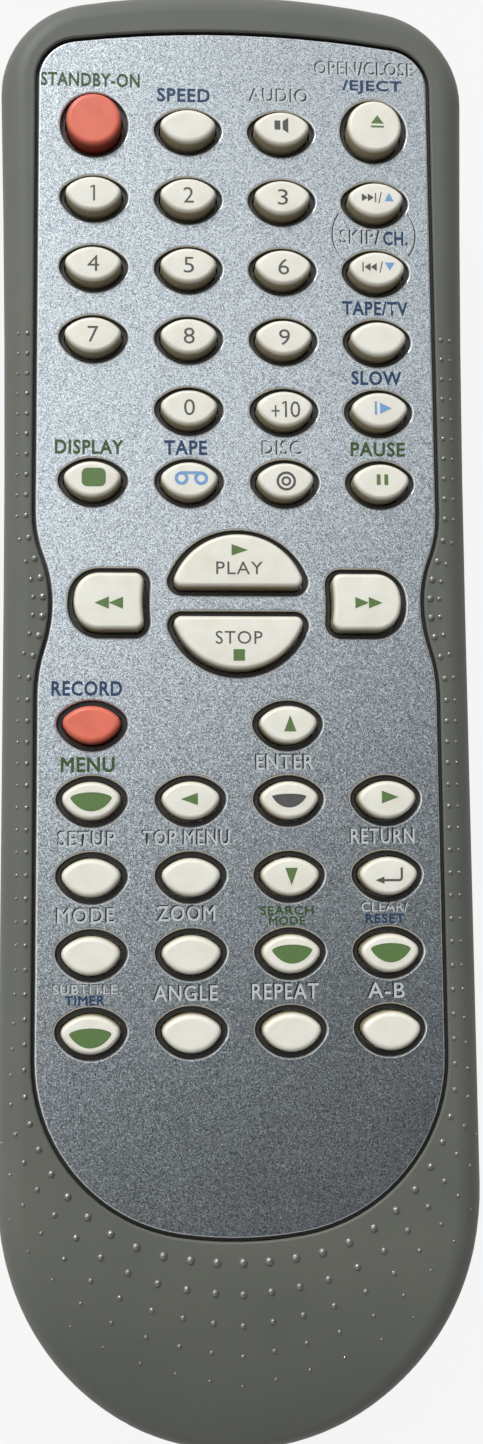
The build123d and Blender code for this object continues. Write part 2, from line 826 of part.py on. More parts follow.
# Case screw: pan head with a cross slot, shank and point, driven up from below
with BuildPart() as case_screw:
    with BuildSketch(Plane(origin=(screw_x, screw_y, 0), x_dir=(1, 0, 0), z_dir=(0, -1, 0))):
        with BuildLine():
            Polyline(
                (0, screw_head_depth),
                (screw_head_diameter / 2, screw_head_depth),
                (screw_head_diameter / 2, screw_seat),
                (screw_diameter / 2, screw_seat),
                (screw_diameter / 2, screw_seat + screw_length - screw_tip),
                (0, screw_seat + screw_length),
                close=True,
            )
        make_face()
    revolve(axis=Axis((screw_x, screw_y, 0), (0, 0, 1)))
    with BuildSketch(Plane.XY.offset(screw_head_depth)):
        with Locations((screw_x, screw_y)):
            Rectangle(screw_slot_length, screw_slot_width)
            Rectangle(screw_slot_width, screw_slot_length)
    extrude(amount=screw_slot_depth, mode=Mode.SUBTRACT)
finish(case_screw, "case_screw")
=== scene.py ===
"""Dresses the infrared hand control of a tape and disc player.

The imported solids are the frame. This script gives them their finishes, prints the signs on the keys and
the words on the face plate, raises the grip dots on the case, and sets a plain studio round it all.
Lengths are metres, unless a name ends in _mm. Marks, labels and brackets are in millimetres.
"""

import logging
import math
from collections.abc import Callable, Iterator
from contextlib import contextmanager
from dataclasses import dataclass, field, replace
from enum import Enum

import bpy
from mathutils import Matrix, Vector


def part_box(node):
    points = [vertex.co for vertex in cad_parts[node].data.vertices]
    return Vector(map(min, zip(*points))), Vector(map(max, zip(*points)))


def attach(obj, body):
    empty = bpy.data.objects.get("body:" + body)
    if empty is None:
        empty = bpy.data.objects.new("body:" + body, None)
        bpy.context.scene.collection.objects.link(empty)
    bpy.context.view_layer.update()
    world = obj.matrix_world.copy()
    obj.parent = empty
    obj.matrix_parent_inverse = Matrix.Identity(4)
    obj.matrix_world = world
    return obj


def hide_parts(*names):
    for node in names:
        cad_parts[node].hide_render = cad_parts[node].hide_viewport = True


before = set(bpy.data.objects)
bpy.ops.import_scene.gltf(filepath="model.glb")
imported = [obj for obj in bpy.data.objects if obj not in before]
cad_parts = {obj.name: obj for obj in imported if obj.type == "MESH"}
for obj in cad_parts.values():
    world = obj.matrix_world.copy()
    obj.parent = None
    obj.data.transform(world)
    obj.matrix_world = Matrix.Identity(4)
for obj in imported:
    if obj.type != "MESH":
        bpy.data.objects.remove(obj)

LOG = logging.getLogger("hand_control")
MM = 0.001

Colour = tuple[int, int, int]
Span = tuple[float, float]
Triple = tuple[float, float, float]
Socket = bpy.types.NodeSocket
Material = bpy.types.Material
Piece = bpy.types.Object

RIGHTWARD: Triple = (1.0, 0.0, 0.0)
ONWARD: Triple = (0.0, 1.0, 0.0)
UPWARD: Triple = (0.0, 0.0, 1.0)
WHITE = (1.0, 1.0, 1.0, 1.0)

# The height of the plate's capitals, but for a few small words
CAPITAL_MM = 1.95


def linear(colour: Colour) -> tuple[float, float, float, float]:
    """Turns a screen colour into the light that it stands for, by the standard screen curve.

    Args:
        colour: red, green and blue, each from 0 to 255.

    Returns:
        The linear colour that a shader socket takes.
    """
    shares = [c / 255 for c in colour]
    light = [s / 12.92 if s <= 0.04045 else ((s + 0.055) / 1.055) ** 2.4 for s in shares]
    return (light[0], light[1], light[2], 1.0)


class Nodes:
    """A node tree with short calls to add nodes and join them."""

    def __init__(self, tree: bpy.types.NodeTree, surface: str) -> None:
        """Takes a tree and the name of the node that gives its surface."""
        self.tree = tree
        self.surface = tree.nodes[surface]

    def node(
        self, kind: str, values: dict[int | str, object] | None = None, **settings: object
    ) -> bpy.types.Node:
        """Adds one node.

        Args:
            kind: the node's type, without its ShaderNode prefix.
            values: what its input sockets are fed with, by their names or numbers.
            settings: the node's own properties.

        Returns:
            The new node.
        """
        made = self.tree.nodes.new("ShaderNode" + kind)
        for key, value in settings.items():
            setattr(made, key, value)
        for key, value in (values or {}).items():
            self.feed(made.inputs[key], value)
        return made

    def feed(self, target: Socket, value: object) -> None:
        """Gives an input socket what it takes.

        Args:
            target: the input socket.
            value: an output socket to join to it, or a plain value.
        """
        if isinstance(value, Socket):
            self.tree.links.new(value, target)
        else:
            target.default_value = value

    def math(self, operation: str, first: object, second: object) -> Socket:
        """Returns one sum of two numbers, of the kind named."""
        return self.node("Math", {0: first, 1: second}, operation=operation).outputs[0]

    def apart(self, first: object, second: object) -> Socket:
        """Returns how far apart two numbers are."""
        return self.math("ABSOLUTE", self.math("SUBTRACT", first, second), 0.0)

    def vector(self, operation: str, *values: object) -> Socket:
        """Returns one vector sum, of the kind named."""
        return self.node("VectorMath", dict(enumerate(values)), operation=operation).outputs[0]

    def remap(self, value: Socket, edges: Span, levels: Span, change: str = "LINEAR") -> Socket:
        """Carries a value over from one range to another, and holds it at the ends.

        Args:
            value: the value.
            edges: where the change starts and ends.
            levels: the result at each edge.
            change: the kind of change between them.

        Returns:
            The new value.
        """
        sockets = ("From Min", "From Max", "To Min", "To Max")
        made = self.node("MapRange", dict(zip(sockets, edges + levels)), interpolation_type=change)
        self.feed(made.inputs["Value"], value)
        return made.outputs["Result"]


class Air(Nodes):
    """The world's nodes."""

    def __init__(self, world: bpy.types.World) -> None:
        """Turns a new world's nodes on.

        Args:
            world: the new world.
        """
        world.use_nodes = True
        super().__init__(world.node_tree, "Background")
        self.toward = self.node("TexCoord").outputs["Generated"]

    def ramp(self, axis: Triple, edges: Span, levels: Span) -> Socket:
        """Returns a light that eases from one level to another between two edges along an axis."""
        along = self.node("VectorMath", {0: self.toward, 1: axis}, operation="DOT_PRODUCT").outputs["Value"]
        return self.remap(along, edges, levels, "SMOOTHSTEP")


class Shader(Nodes):
    """A material's nodes."""

    def __init__(self, name: str) -> None:
        """Makes a new principled material.

        Args:
            name: the material's name.
        """
        self.material = bpy.data.materials.new(name)
        self.material.use_nodes = True
        super().__init__(self.material.node_tree, "Principled BSDF")

    def place(self) -> Socket:
        """Returns the point on the piece, in the part's own frame."""
        return self.node("TexCoord").outputs["Object"]

    def facing(self) -> Socket:
        """Returns the direction that the surface faces."""
        return self.node("NewGeometry").outputs["Normal"]

    def noise(self, size: float, detail: float = 2.0) -> Socket:
        """Returns soft noise whose grains are about that size."""
        values = {"Vector": self.place(), "Scale": 1 / size, "Detail": detail}
        return self.node("TexNoise", values).outputs["Fac"]

    def spread(self, value: Socket, levels: Span) -> Socket:
        """Returns a 0 to 1 value stretched between two levels."""
        return self.remap(value, (0.0, 1.0), levels)

    def patches(self, size: float, levels: Span, detail: float = 2.0) -> Socket:
        """Returns soft noise stretched between two levels."""
        return self.spread(self.noise(size, detail), levels)

    def between(self, share: Socket, first: Colour | Socket, second: Colour) -> Socket:
        """Returns a colour that goes from first to second as share goes from 0 to 1."""
        start = first if isinstance(first, Socket) else linear(first)
        return self.node("Mix", {0: share, 6: start, 7: linear(second)}, data_type="RGBA").outputs[2]

    def scaled(self, colour: Socket, share: Socket) -> Socket:
        """Returns a colour made lighter or darker."""
        return self.node("VectorMath", {0: colour, "Scale": share}, operation="SCALE").outputs[0]

    def bump(self, height: Socket, depth: float) -> Socket:
        """Returns a normal that is tilted by a height map of that depth."""
        values = {"Height": height, "Distance": depth, "Strength": 1.0}
        return self.node("Bump", values).outputs["Normal"]

    def set(self, **values: object) -> None:
        """Feeds the surface's sockets; an underscore in a name stands for a space."""
        for key, value in values.items():
            self.feed(self.surface.inputs[key.replace("_", " ")], value)


@dataclass(frozen=True)
class Finish:
    """A surface finish. Each kind wires its own nodes."""

    name: str

    def material(self) -> Material:
        """Makes the finish.

        Returns:
            The finished material.
        """
        shader = Shader(self.name)
        self.wire(shader)
        return shader.material

    def wire(self, shader: Shader) -> None:
        """Wires the nodes of a new material."""
        raise NotImplementedError


@dataclass(frozen=True)
class MouldedPlastic(Finish):
    """Case plastic from a lightly spark-eroded mould, rubbed smoother by hands in places."""

    colour: Colour
    rubbed_colour: Colour
    grain: float = 0.22 * MM
    grain_depth: float = 0.012 * MM
    patch: float = 16 * MM
    roughness: float = 0.54
    shine: float = 0.5
    index: float = 1.5
    rubbed_range: Span = (-0.4, 1.4)
    speck_range: Span = (0.94, 1.06)
    polish: float = 0.1

    def wire(self, shader: Shader) -> None:
        """Mixes the two tones in soft patches, under a fine grain.

        Args:
            shader: the new material's nodes.
        """
        rubbed = shader.patches(self.patch, self.rubbed_range, detail=4.0)
        fine = shader.noise(self.grain, detail=3.0)
        tint = shader.between(rubbed, self.colour, self.rubbed_colour)
        shader.set(
            Base_Color=shader.scaled(tint, shader.spread(fine, self.speck_range)),
            Roughness=shader.spread(rubbed, (self.roughness, self.roughness - self.polish)),
            Specular_IOR_Level=self.shine,
            IOR=self.index,
            Normal=shader.bump(fine, self.grain_depth),
        )


@dataclass(frozen=True)
class FlakeLacquer(Finish):
    """Silver lacquer full of small flakes, each of which lies at its own slight tilt."""

    colour: Colour
    dark_flake: Colour
    flake: float = 0.13 * MM
    tilt: float = 0.05
    wear_patch: float = 9 * MM
    rough_range: Span = (0.30, 0.36)

    def wire(self, shader: Shader) -> None:
        """Gives each flake a tone and a tilt of its own.

        Args:
            shader: the new material's nodes.
        """
        cells = {"Vector": shader.place(), "Scale": 1 / self.flake}
        flakes = shader.node("TexVoronoi", cells).outputs["Color"]
        swing = (2 * self.tilt, 2 * self.tilt, 0.0)
        lean = shader.vector("MULTIPLY_ADD", flakes, swing, (-self.tilt, -self.tilt, 0.0))
        leant = shader.vector("ADD", shader.facing(), lean)
        tone = shader.node("SeparateColor", {0: flakes}).outputs["Blue"]
        shader.set(
            Base_Color=shader.between(tone, self.dark_flake, self.colour),
            Metallic=1.0,
            Roughness=shader.patches(self.wear_patch, self.rough_range, detail=3.0),
            Normal=shader.vector("NORMALIZE", leant),
        )


@dataclass(frozen=True)
class PaintedHighlightEdge(Finish):
    """A sheet's rounded edge in a pale, half metallic colour: a painted highlight, and in part a real
    reflection off the metal.
    """

    colour: Colour
    dull_colour: Colour
    metal_range: Span = (0.65, 0.35)
    rough_range: Span = (0.24, 0.36)
    patch: float = 2.2 * MM
    patchy_range: Span = (-0.5, 1.3)

    def wire(self, shader: Shader) -> None:
        """Mixes bright and dull metal in small patches.

        Args:
            shader: the new material's nodes.
        """
        # painted highlight: the pale colour brightens the edge whatever light falls on it
        patchy = shader.patches(self.patch, self.patchy_range, detail=4.0)
        shader.set(
            Base_Color=shader.between(patchy, self.colour, self.dull_colour),
            Metallic=shader.spread(patchy, self.metal_range),
            Roughness=shader.spread(patchy, self.rough_range),
        )


@dataclass(frozen=True)
class SoftRubber(Finish):
    """Key rubber: smooth, a little translucent, soiled in patches, and darker down its flanks, by soil and
    painted shade.
    """

    colour: Colour
    soil: Colour
    glow: Colour
    # the flanks' darker colour: soil and painted shade
    flank_soil_and_shade: Colour
    patch: float = 2.6 * MM
    soil_range: Span = (-0.9, 1.3)
    grain: float = 0.15 * MM
    grain_depth: float = 0.003 * MM
    flank_edges: Span = (0.9, 0.15)
    rough_range: Span = (0.40, 0.52)
    translucence: float = 0.12
    depth: float = 0.5 * MM

    def wire(self, shader: Shader) -> None:
        """Soils the rubber in patches, and darkens it where it faces sideways, with soil and painted shade.

        Args:
            shader: the new material's nodes.
        """
        soiled = shader.patches(self.patch, self.soil_range, detail=5.0)
        fine = shader.noise(self.grain)
        upward = shader.node("SeparateXYZ", {"Vector": shader.facing()}).outputs["Z"]
        # painted shade: faces that turn sideways take the darker flank colour
        flank = shader.remap(upward, self.flank_edges, (0.0, 1.0))
        shader.set(
            Base_Color=shader.between(flank, shader.between(soiled, self.colour, self.soil), self.flank_soil_and_shade),
            Roughness=shader.spread(soiled, self.rough_range),
            Normal=shader.bump(fine, self.grain_depth),
            Subsurface_Weight=self.translucence,
            Subsurface_Radius=linear(self.glow)[:3],
            Subsurface_Scale=self.depth,
        )


@dataclass(frozen=True)
class PrintInk(Finish):
    """Printed ink, a little thin and broken at the scale of the screen it was pressed through."""

    colour: Colour
    thin_colour: Colour
    roughness: float = 0.5
    screen: float = 0.3 * MM
    thin_range: Span = (-0.6, 1.2)
    relief: float = 0.004 * MM

    def wire(self, shader: Shader) -> None:
        """Mixes thick and thin ink, grain by grain.

        Args:
            shader: the new material's nodes.
        """
        thin = shader.patches(self.screen, self.thin_range, detail=3.0)
        shader.set(
            Base_Color=shader.between(thin, self.colour, self.thin_colour),
            Roughness=self.roughness,
            Normal=shader.bump(thin, self.relief),
        )


@dataclass(frozen=True)
class BoardLaminate(Finish):
    """Green solder mask over copper tracks on a glass laminate, with the weave just showing."""

    mask: Colour = (38, 92, 62)
    track: Colour = (58, 122, 78)
    lane_scale: float = 1 / (38 * MM)
    waver: float = 1.6
    waver_scale: float = 0.6
    track_edges: Span = (0.52, 0.6)
    track_height: float = 0.03 * MM
    weave: float = 0.5 * MM
    rough_range: Span = (0.28, 0.42)

    def wire(self, shader: Shader) -> None:
        """Lays wavering lanes of copper under the mask.

        Args:
            shader: the new material's nodes.
        """
        lanes = {
            "Vector": shader.place(),
            "Scale": self.lane_scale,
            "Distortion": self.waver,
            "Detail Scale": self.waver_scale,
        }
        wave = shader.node("TexWave", lanes, wave_type="BANDS", bands_direction="X", wave_profile="SIN")
        copper = shader.remap(wave.outputs["Fac"], self.track_edges, (0.0, 1.0))
        shader.set(
            Base_Color=shader.between(copper, self.mask, self.track),
            Roughness=shader.patches(self.weave, self.rough_range),
            Normal=shader.bump(copper, self.track_height),
        )


@dataclass(frozen=True)
class PlatedMetal(Finish):
    """Bright plated metal with fine drawing marks and a few dull stains."""

    colour: Colour
    stain: Colour
    roughness: float = 0.26
    dulling: float = 0.2
    patch: float = 1.8 * MM
    stain_range: Span = (-0.7, 1.2)
    line: float = 0.07 * MM
    line_depth: float = 0.003 * MM

    def wire(self, shader: Shader) -> None:
        """Stains the metal in patches and draws fine lines in it.

        Args:
            shader: the new material's nodes.
        """
        dull = shader.patches(self.patch, self.stain_range, detail=4.0)
        shader.set(
            Base_Color=shader.between(dull, self.colour, self.stain),
            Metallic=1.0,
            Roughness=shader.spread(dull, (self.roughness, self.roughness + self.dulling)),
            Normal=shader.bump(shader.noise(self.line, detail=1.0), self.line_depth),
        )


@dataclass(frozen=True)
class CellJacket(Finish):
    """A cell's printed film: a pale sleeve with two plain rings, and bare steel at both ends."""

    film: Colour = (214, 216, 214)
    ring: Colour = (54, 96, 128)
    steel: Colour = (190, 190, 186)
    end_bare: float = 1.6 * MM
    ring_width: float = 5 * MM
    ring_inset: float = 7 * MM
    scuff_patch: float = 3 * MM
    scuff_range: Span = (0.9, 1.05)
    gloss_patch: float = 1.2 * MM
    rough_range: Span = (0.24, 0.4)

    def wire(self, shader: Shader) -> None:
        """Rings the film and bares the steel, by the distance from the cells' middle.

        Args:
            shader: the new material's nodes.
        """
        low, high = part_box("aa_cells")
        middle = (low[1] + high[1]) / 2
        half = (high[1] - low[1]) / 2
        along = shader.node("SeparateXYZ", {"Vector": shader.place()}).outputs["Y"]
        away = shader.apart(along, middle)
        from_ring = shader.apart(away, half - self.ring_inset)
        ringed = shader.math("LESS_THAN", from_ring, self.ring_width / 2)
        bare = shader.math("GREATER_THAN", away, half - self.end_bare)
        scuff = shader.patches(self.scuff_patch, self.scuff_range, detail=4.0)
        printed = shader.scaled(shader.between(ringed, self.film, self.ring), scuff)
        shader.set(
            Base_Color=shader.between(bare, printed, self.steel),
            Metallic=bare,
            Roughness=shader.patches(self.gloss_patch, self.rough_range, detail=3.0),
        )


@dataclass(frozen=True)
class TintedResin(Finish):
    """Clear casting resin with a dark tint, as lamps for unseen light have."""

    tint: Colour
    deep_tint: Colour
    clear: float = 0.55
    index: float = 1.53
    streak: float = 1.1 * MM
    rough_range: Span = (0.06, 0.14)

    def wire(self, shader: Shader) -> None:
        """Streaks the resin with a deeper tint.

        Args:
            shader: the new material's nodes.
        """
        streak = shader.noise(self.streak)
        shader.set(
            Base_Color=shader.between(streak, self.tint, self.deep_tint),
            Roughness=shader.spread(streak, self.rough_range),
            Transmission_Weight=self.clear,
            IOR=self.index,
        )


class Slot(Enum):
    """The record's material slots, which the script names but gives to no piece."""

    CASE = "case_plastic"
    FACE = "face_silver"
    IVORY = "key_ivory"


class Ink(Enum):
    """The printing inks, each with its finish."""

    GREY = PrintInk("ink_dark_grey", (78, 78, 76), (96, 95, 92))
    GREEN = PrintInk("ink_green", (88, 120, 62), (102, 134, 76))
    SKY = PrintInk("ink_sky_blue", (112, 160, 212), (140, 180, 220))
    NAVY = PrintInk("ink_navy", (4, 52, 94), (18, 66, 106))
    LEAF = PrintInk("ink_leaf", (42, 80, 26), (56, 92, 38))
    PALE = PrintInk("ink_pale", (206, 212, 213), (192, 199, 201))
    # a dark copy laid up and left of the pale words: their painted shadow
    SHADE = PrintInk("ink_shade", (16, 19, 22), (27, 30, 33))


def deselect() -> None:
    """Leaves nothing selected."""
    bpy.ops.object.select_all(action="DESELECT")


def pick(piece: Piece) -> None:
    """Makes one piece the only one selected, and the active one.

    Args:
        piece: the piece.
    """
    deselect()
    piece.select_set(True)
    bpy.context.view_layer.objects.active = piece


def settle(piece: Piece) -> None:
    """Moves a piece's place, turn and scale into its mesh."""
    pick(piece)
    bpy.ops.object.transform_apply(location=True, rotation=True, scale=True)


@contextmanager
def editing(chosen: Callable[[Vector], bool] | None = None) -> Iterator[None]:
    """Opens the active piece in edit mode for as long as a with block lasts.

    Args:
        chosen: tells by its place whether a vertex is selected; without it, all of them are.

    Yields:
        Nothing, while the piece is open.
    """
    bpy.ops.object.mode_set(mode="EDIT")
    bpy.ops.mesh.select_all(action="DESELECT" if chosen else "SELECT")
    if chosen:
        bpy.ops.object.mode_set(mode="OBJECT")
        for vertex in bpy.context.object.data.vertices:
            vertex.select = chosen(vertex.co)
        bpy.ops.object.mode_set(mode="EDIT")
    yield
    bpy.ops.object.mode_set(mode="OBJECT")


def sheet(width: float = 1.0) -> Piece:
    """Returns a new flat square."""
    bpy.ops.mesh.primitive_plane_add(size=width)
    return bpy.context.object


def disc(sides: int, radius: float = 1.0) -> Piece:
    """Returns a new flat disc with that many sides."""
    bpy.ops.mesh.primitive_circle_add(vertices=sides, radius=radius, fill_type="NGON")
    return bpy.context.object


def hoop(sides: int, radius: float, stroke: float) -> Piece:
    """Cuts the middle out of a disc.

    Args:
        sides: how many sides the disc has.
        radius: its outer radius.
        stroke: how wide the rest is.

    Returns:
        The flat hoop.
    """
    made = disc(sides, radius)
    with editing():
        bpy.ops.mesh.inset(thickness=stroke)
        bpy.ops.mesh.delete(type="FACE")
    return made


def trim(at: Triple, outward: Triple) -> None:
    """Cuts off what the active piece has beyond a plane."""
    with editing():
        bpy.ops.mesh.bisect(plane_co=at, plane_no=outward, clear_outer=True)


def join(pieces: list[Piece], name: str) -> Piece:
    """Joins settled pieces into one.

    Args:
        pieces: the pieces, all at the origin.
        name: the name of the whole.

    Returns:
        The joined piece.
    """
    pick(pieces[0])
    for piece in pieces:
        piece.select_set(True)
    if len(pieces) > 1:
        bpy.ops.object.join()
    whole = bpy.context.view_layer.objects.active
    whole.name = name
    whole.data.name = name
    return whole


def coat(piece: Piece, material: Material) -> None:
    """Makes a material the only one of a piece."""
    piece.data.materials.clear()
    piece.data.materials.append(material)


def dress_node(node: str, material: Material) -> None:
    """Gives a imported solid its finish, all over."""
    coat(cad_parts[node], material)
    LOG.info("dressed %s in %s", node, material.name)


def shade_faces(node: str, material: Material, chosen: Callable[[bpy.types.MeshPolygon], bool]) -> None:
    """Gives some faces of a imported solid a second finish.

    Args:
        node: the solid's name.
        material: the second finish.
        chosen: tells whether a face takes it.
    """
    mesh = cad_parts[node].data
    mesh.materials.append(material)
    for face in mesh.polygons:
        if chosen(face):
            face.material_index = 1
    LOG.info("dressed part of %s in %s", node, material.name)


def middle_mm(node: str) -> Span:
    """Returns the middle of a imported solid, seen from above."""
    low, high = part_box(node)
    return ((low[0] + high[0]) / 2 / MM, (low[1] + high[1]) / 2 / MM)


@dataclass(frozen=True)
class Mark:
    """One flat shape of a sign, in a box measured from the middle of what it is printed on.

    turn is in degrees, anticlockwise.
    """

    ink: Ink
    x: float
    y: float
    width: float
    height: float
    turn: float = 0.0

    def outline(self) -> Piece:
        """Returns the flat shape, before it is fitted to its box."""
        raise NotImplementedError


@dataclass(frozen=True)
class Triangle(Mark):
    """A triangle that points up before it is turned."""

    def outline(self) -> Piece:
        """Returns the flat triangle."""
        return disc(3)


@dataclass(frozen=True)
class Bar(Mark):
    """A rectangle with round corners."""

    corner: float = 0.05
    corner_steps: int = 3

    def outline(self) -> Piece:
        """Cuts a sheet and rounds its corners.

        Returns:
            The flat rectangle.
        """
        made = sheet()
        made.scale = (self.width, self.height, 1.0)
        settle(made)
        with editing():
            bpy.ops.mesh.bevel(offset=self.corner, segments=self.corner_steps, affect="VERTICES")
        return made


@dataclass(frozen=True)
class Ring(Mark):
    """A ring with its stroke in millimetres."""

    stroke: float = field(kw_only=True)
    sides: int = 40

    def outline(self) -> Piece:
        """Returns the flat ring."""
        return hoop(self.sides, self.width / 2, self.stroke)


@dataclass(frozen=True)
class Elbow(Mark):
    """The lower right quarter of a ring, with its stroke as a share of the radius."""

    stroke: float = 0.56
    sides: int = 40

    def outline(self) -> Piece:
        """Trims a hoop on two sides.

        Returns:
            The flat elbow.
        """
        made = hoop(self.sides, 1.0, self.stroke)
        for outward in ((-1.0, 0.0, 0.0), ONWARD):
            trim((0.0, 0.0, 0.0), outward)
        return made


@dataclass(frozen=True)
class Arc(Mark):
    """A round bracket that bulges to the left. Its stroke and its ends are shares of the radius."""

    stroke: float = 0.032
    sides: int = 96
    ends_at: float = -0.79

    def outline(self) -> Piece:
        """Trims a hoop to a thin slice.

        Returns:
            The flat bracket.
        """
        made = hoop(self.sides, 1.0, self.stroke)
        trim((self.ends_at, 0.0, 0.0), RIGHTWARD)
        return made


@dataclass(frozen=True)
class Patch(Mark):
    """A boat's outline: a low flat crown above, a deep bowl below, round where they meet."""

    crown: float = 0.7
    crown_power: float = 0.6
    bowl_power: float = 0.8
    sides: int = 64

    def outline(self) -> Piece:
        """Draws a disc into the boat's form.

        Returns:
            The flat patch.
        """
        made = disc(self.sides)
        bowl = self.height - self.crown
        for vertex in made.data.vertices:
            room = max(0.0, 1.0 - vertex.co.x ** 2)
            if vertex.co.y > 0:
                vertex.co.y = room ** self.crown_power * self.crown
            else:
                vertex.co.y = -(room ** self.bowl_power) * bowl
            vertex.co.x *= self.width / 2
        return made


@dataclass(frozen=True)
class Horn(Mark):
    """A horn that widens to the right. narrow is its small end, as a share of the wide one."""

    narrow: float = 0.52

    def outline(self) -> Piece:
        """Draws in the left side of a sheet.

        Returns:
            The flat horn.
        """
        made = sheet()
        with editing(lambda place: place.x < 0):
            bpy.ops.transform.resize(value=(1.0, self.narrow, 1.0), center_override=(-0.5, 0.0, 0.0))
        return made


@dataclass(frozen=True)
class Word(Mark):
    """A word that fills its box.

    weight is how much heavier it is than the plain type. It, near_double and weld are in the type's own
    units.
    """

    text: str = field(kw_only=True)
    weight: float = 0.0
    curve_steps: int = 3
    letter_space: float = 1.1
    near_double: float = 0.004
    weld: float = 0.0001

    def outline(self) -> Piece:
        """Sets the word in type, and takes out points that nearly touch before its line grows.

        Returns:
            The flat word.
        """
        bpy.ops.object.text_add()
        type_line = bpy.context.object.data
        type_line.body = self.text
        type_line.resolution_u = self.curve_steps
        type_line.space_character = self.letter_space
        bpy.ops.object.convert(target="CURVE")
        made = bpy.context.object
        bpy.ops.object.mode_set(mode="EDIT")
        bpy.ops.curve.select_all(action="DESELECT")
        for line in made.data.splines:
            points = line.bezier_points
            for before, after in zip(points, points[1:]):
                before.select_control_point = (after.co - before.co).length < self.near_double
        bpy.ops.curve.delete(type="VERT")
        bpy.ops.object.mode_set(mode="OBJECT")
        made.data.offset = self.weight
        bpy.ops.object.convert(target="MESH")
        with editing():
            bpy.ops.mesh.remove_doubles(threshold=self.weld)
        return bpy.context.object


@dataclass
class Press:
    """Prints signs: cuts each mark as a flat face, joins them, and gives them the ink's thickness."""

    film: float = 0.02 * MM
    sink: float = 0.004 * MM
    layer: float = 0.0006 * MM
    inks: dict[Ink, Material] = field(default_factory=lambda: {ink: ink.value.material() for ink in Ink})

    def cut(self, mark: Mark, order: int) -> Piece:
        """Cuts one mark, flat, at its place just above the level of the origin.

        Args:
            mark: what to cut.
            order: how many marks of the same sign lie under it.

        Returns:
            The flat piece.
        """
        deselect()
        made = mark.outline()
        corners = [vertex.co for vertex in made.data.vertices]
        low = Vector((min(c.x for c in corners), min(c.y for c in corners), 0.0))
        high = Vector((max(c.x for c in corners), max(c.y for c in corners), 0.0))
        size = high - low
        fit = Vector((mark.width * MM / size.x, mark.height * MM / size.y, 1.0))
        made.data.transform(Matrix.Diagonal(fit).to_4x4() @ Matrix.Translation(-(low + high) / 2))
        made.rotation_euler = (0.0, 0.0, math.radians(mark.turn))
        made.location = (mark.x * MM, mark.y * MM, order * self.layer)
        settle(made)
        coat(made, self.inks[mark.ink])
        return made

    def print_sign(
        self, name: str, marks: tuple[Mark, ...], at: Vector, body: str, slot: Slot, share: float = 1.0
    ) -> None:
        """Prints one sign as a closed film of ink.

        Args:
            name: the new piece's name.
            marks: the flat shapes of the sign.
            at: the point on the printed surface that the marks are measured from.
            body: the body that it moves with.
            slot: the record's slot that the printed surface has; not used.
            share: how thick the film is, as a share of the usual one.
        """
        sign = join([self.cut(mark, order) for order, mark in enumerate(marks)], name)
        sign.location = at - Vector((0.0, 0.0, self.sink))
        settle(sign)
        thick = sign.modifiers.new("film", "SOLIDIFY")
        thick.thickness = self.film * share + self.sink
        thick.offset = 1.0
        bpy.ops.object.modifier_apply(modifier=thick.name)
        bpy.ops.object.shade_flat()
        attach(sign, body)
        LOG.info("printed %s on %s", name, body)


FIGURE_HEIGHT_MM = 2.16
FIGURE_WIDTHS_MM: dict[str, float] = {
    "2": 1.36, "3": 1.36, "4": 1.5, "5": 1.36, "6": 1.44, "7": 1.4, "8": 1.44, "9": 1.44, "0": 1.42,
}

# Turns of a triangle, which points up by itself
LEFT, DOWN, RIGHT = 90.0, 180.0, -90.0


def digit(text: str, width: float, x: float = 0.03, y: float = 0.0) -> Word:
    """Returns one number in light type."""
    return Word(Ink.GREY, x, y, width, FIGURE_HEIGHT_MM, text=text, weight=-0.004)


def one(x: float, y: float) -> tuple[Mark, ...]:
    """Returns the number 1: a stem with a flag at its head."""
    stem = Bar(Ink.GREY, x + 0.1, y, 0.25, FIGURE_HEIGHT_MM)
    return (stem, Bar(Ink.GREY, x - 0.19, y + 0.86, 0.42, 0.2, 32.0))


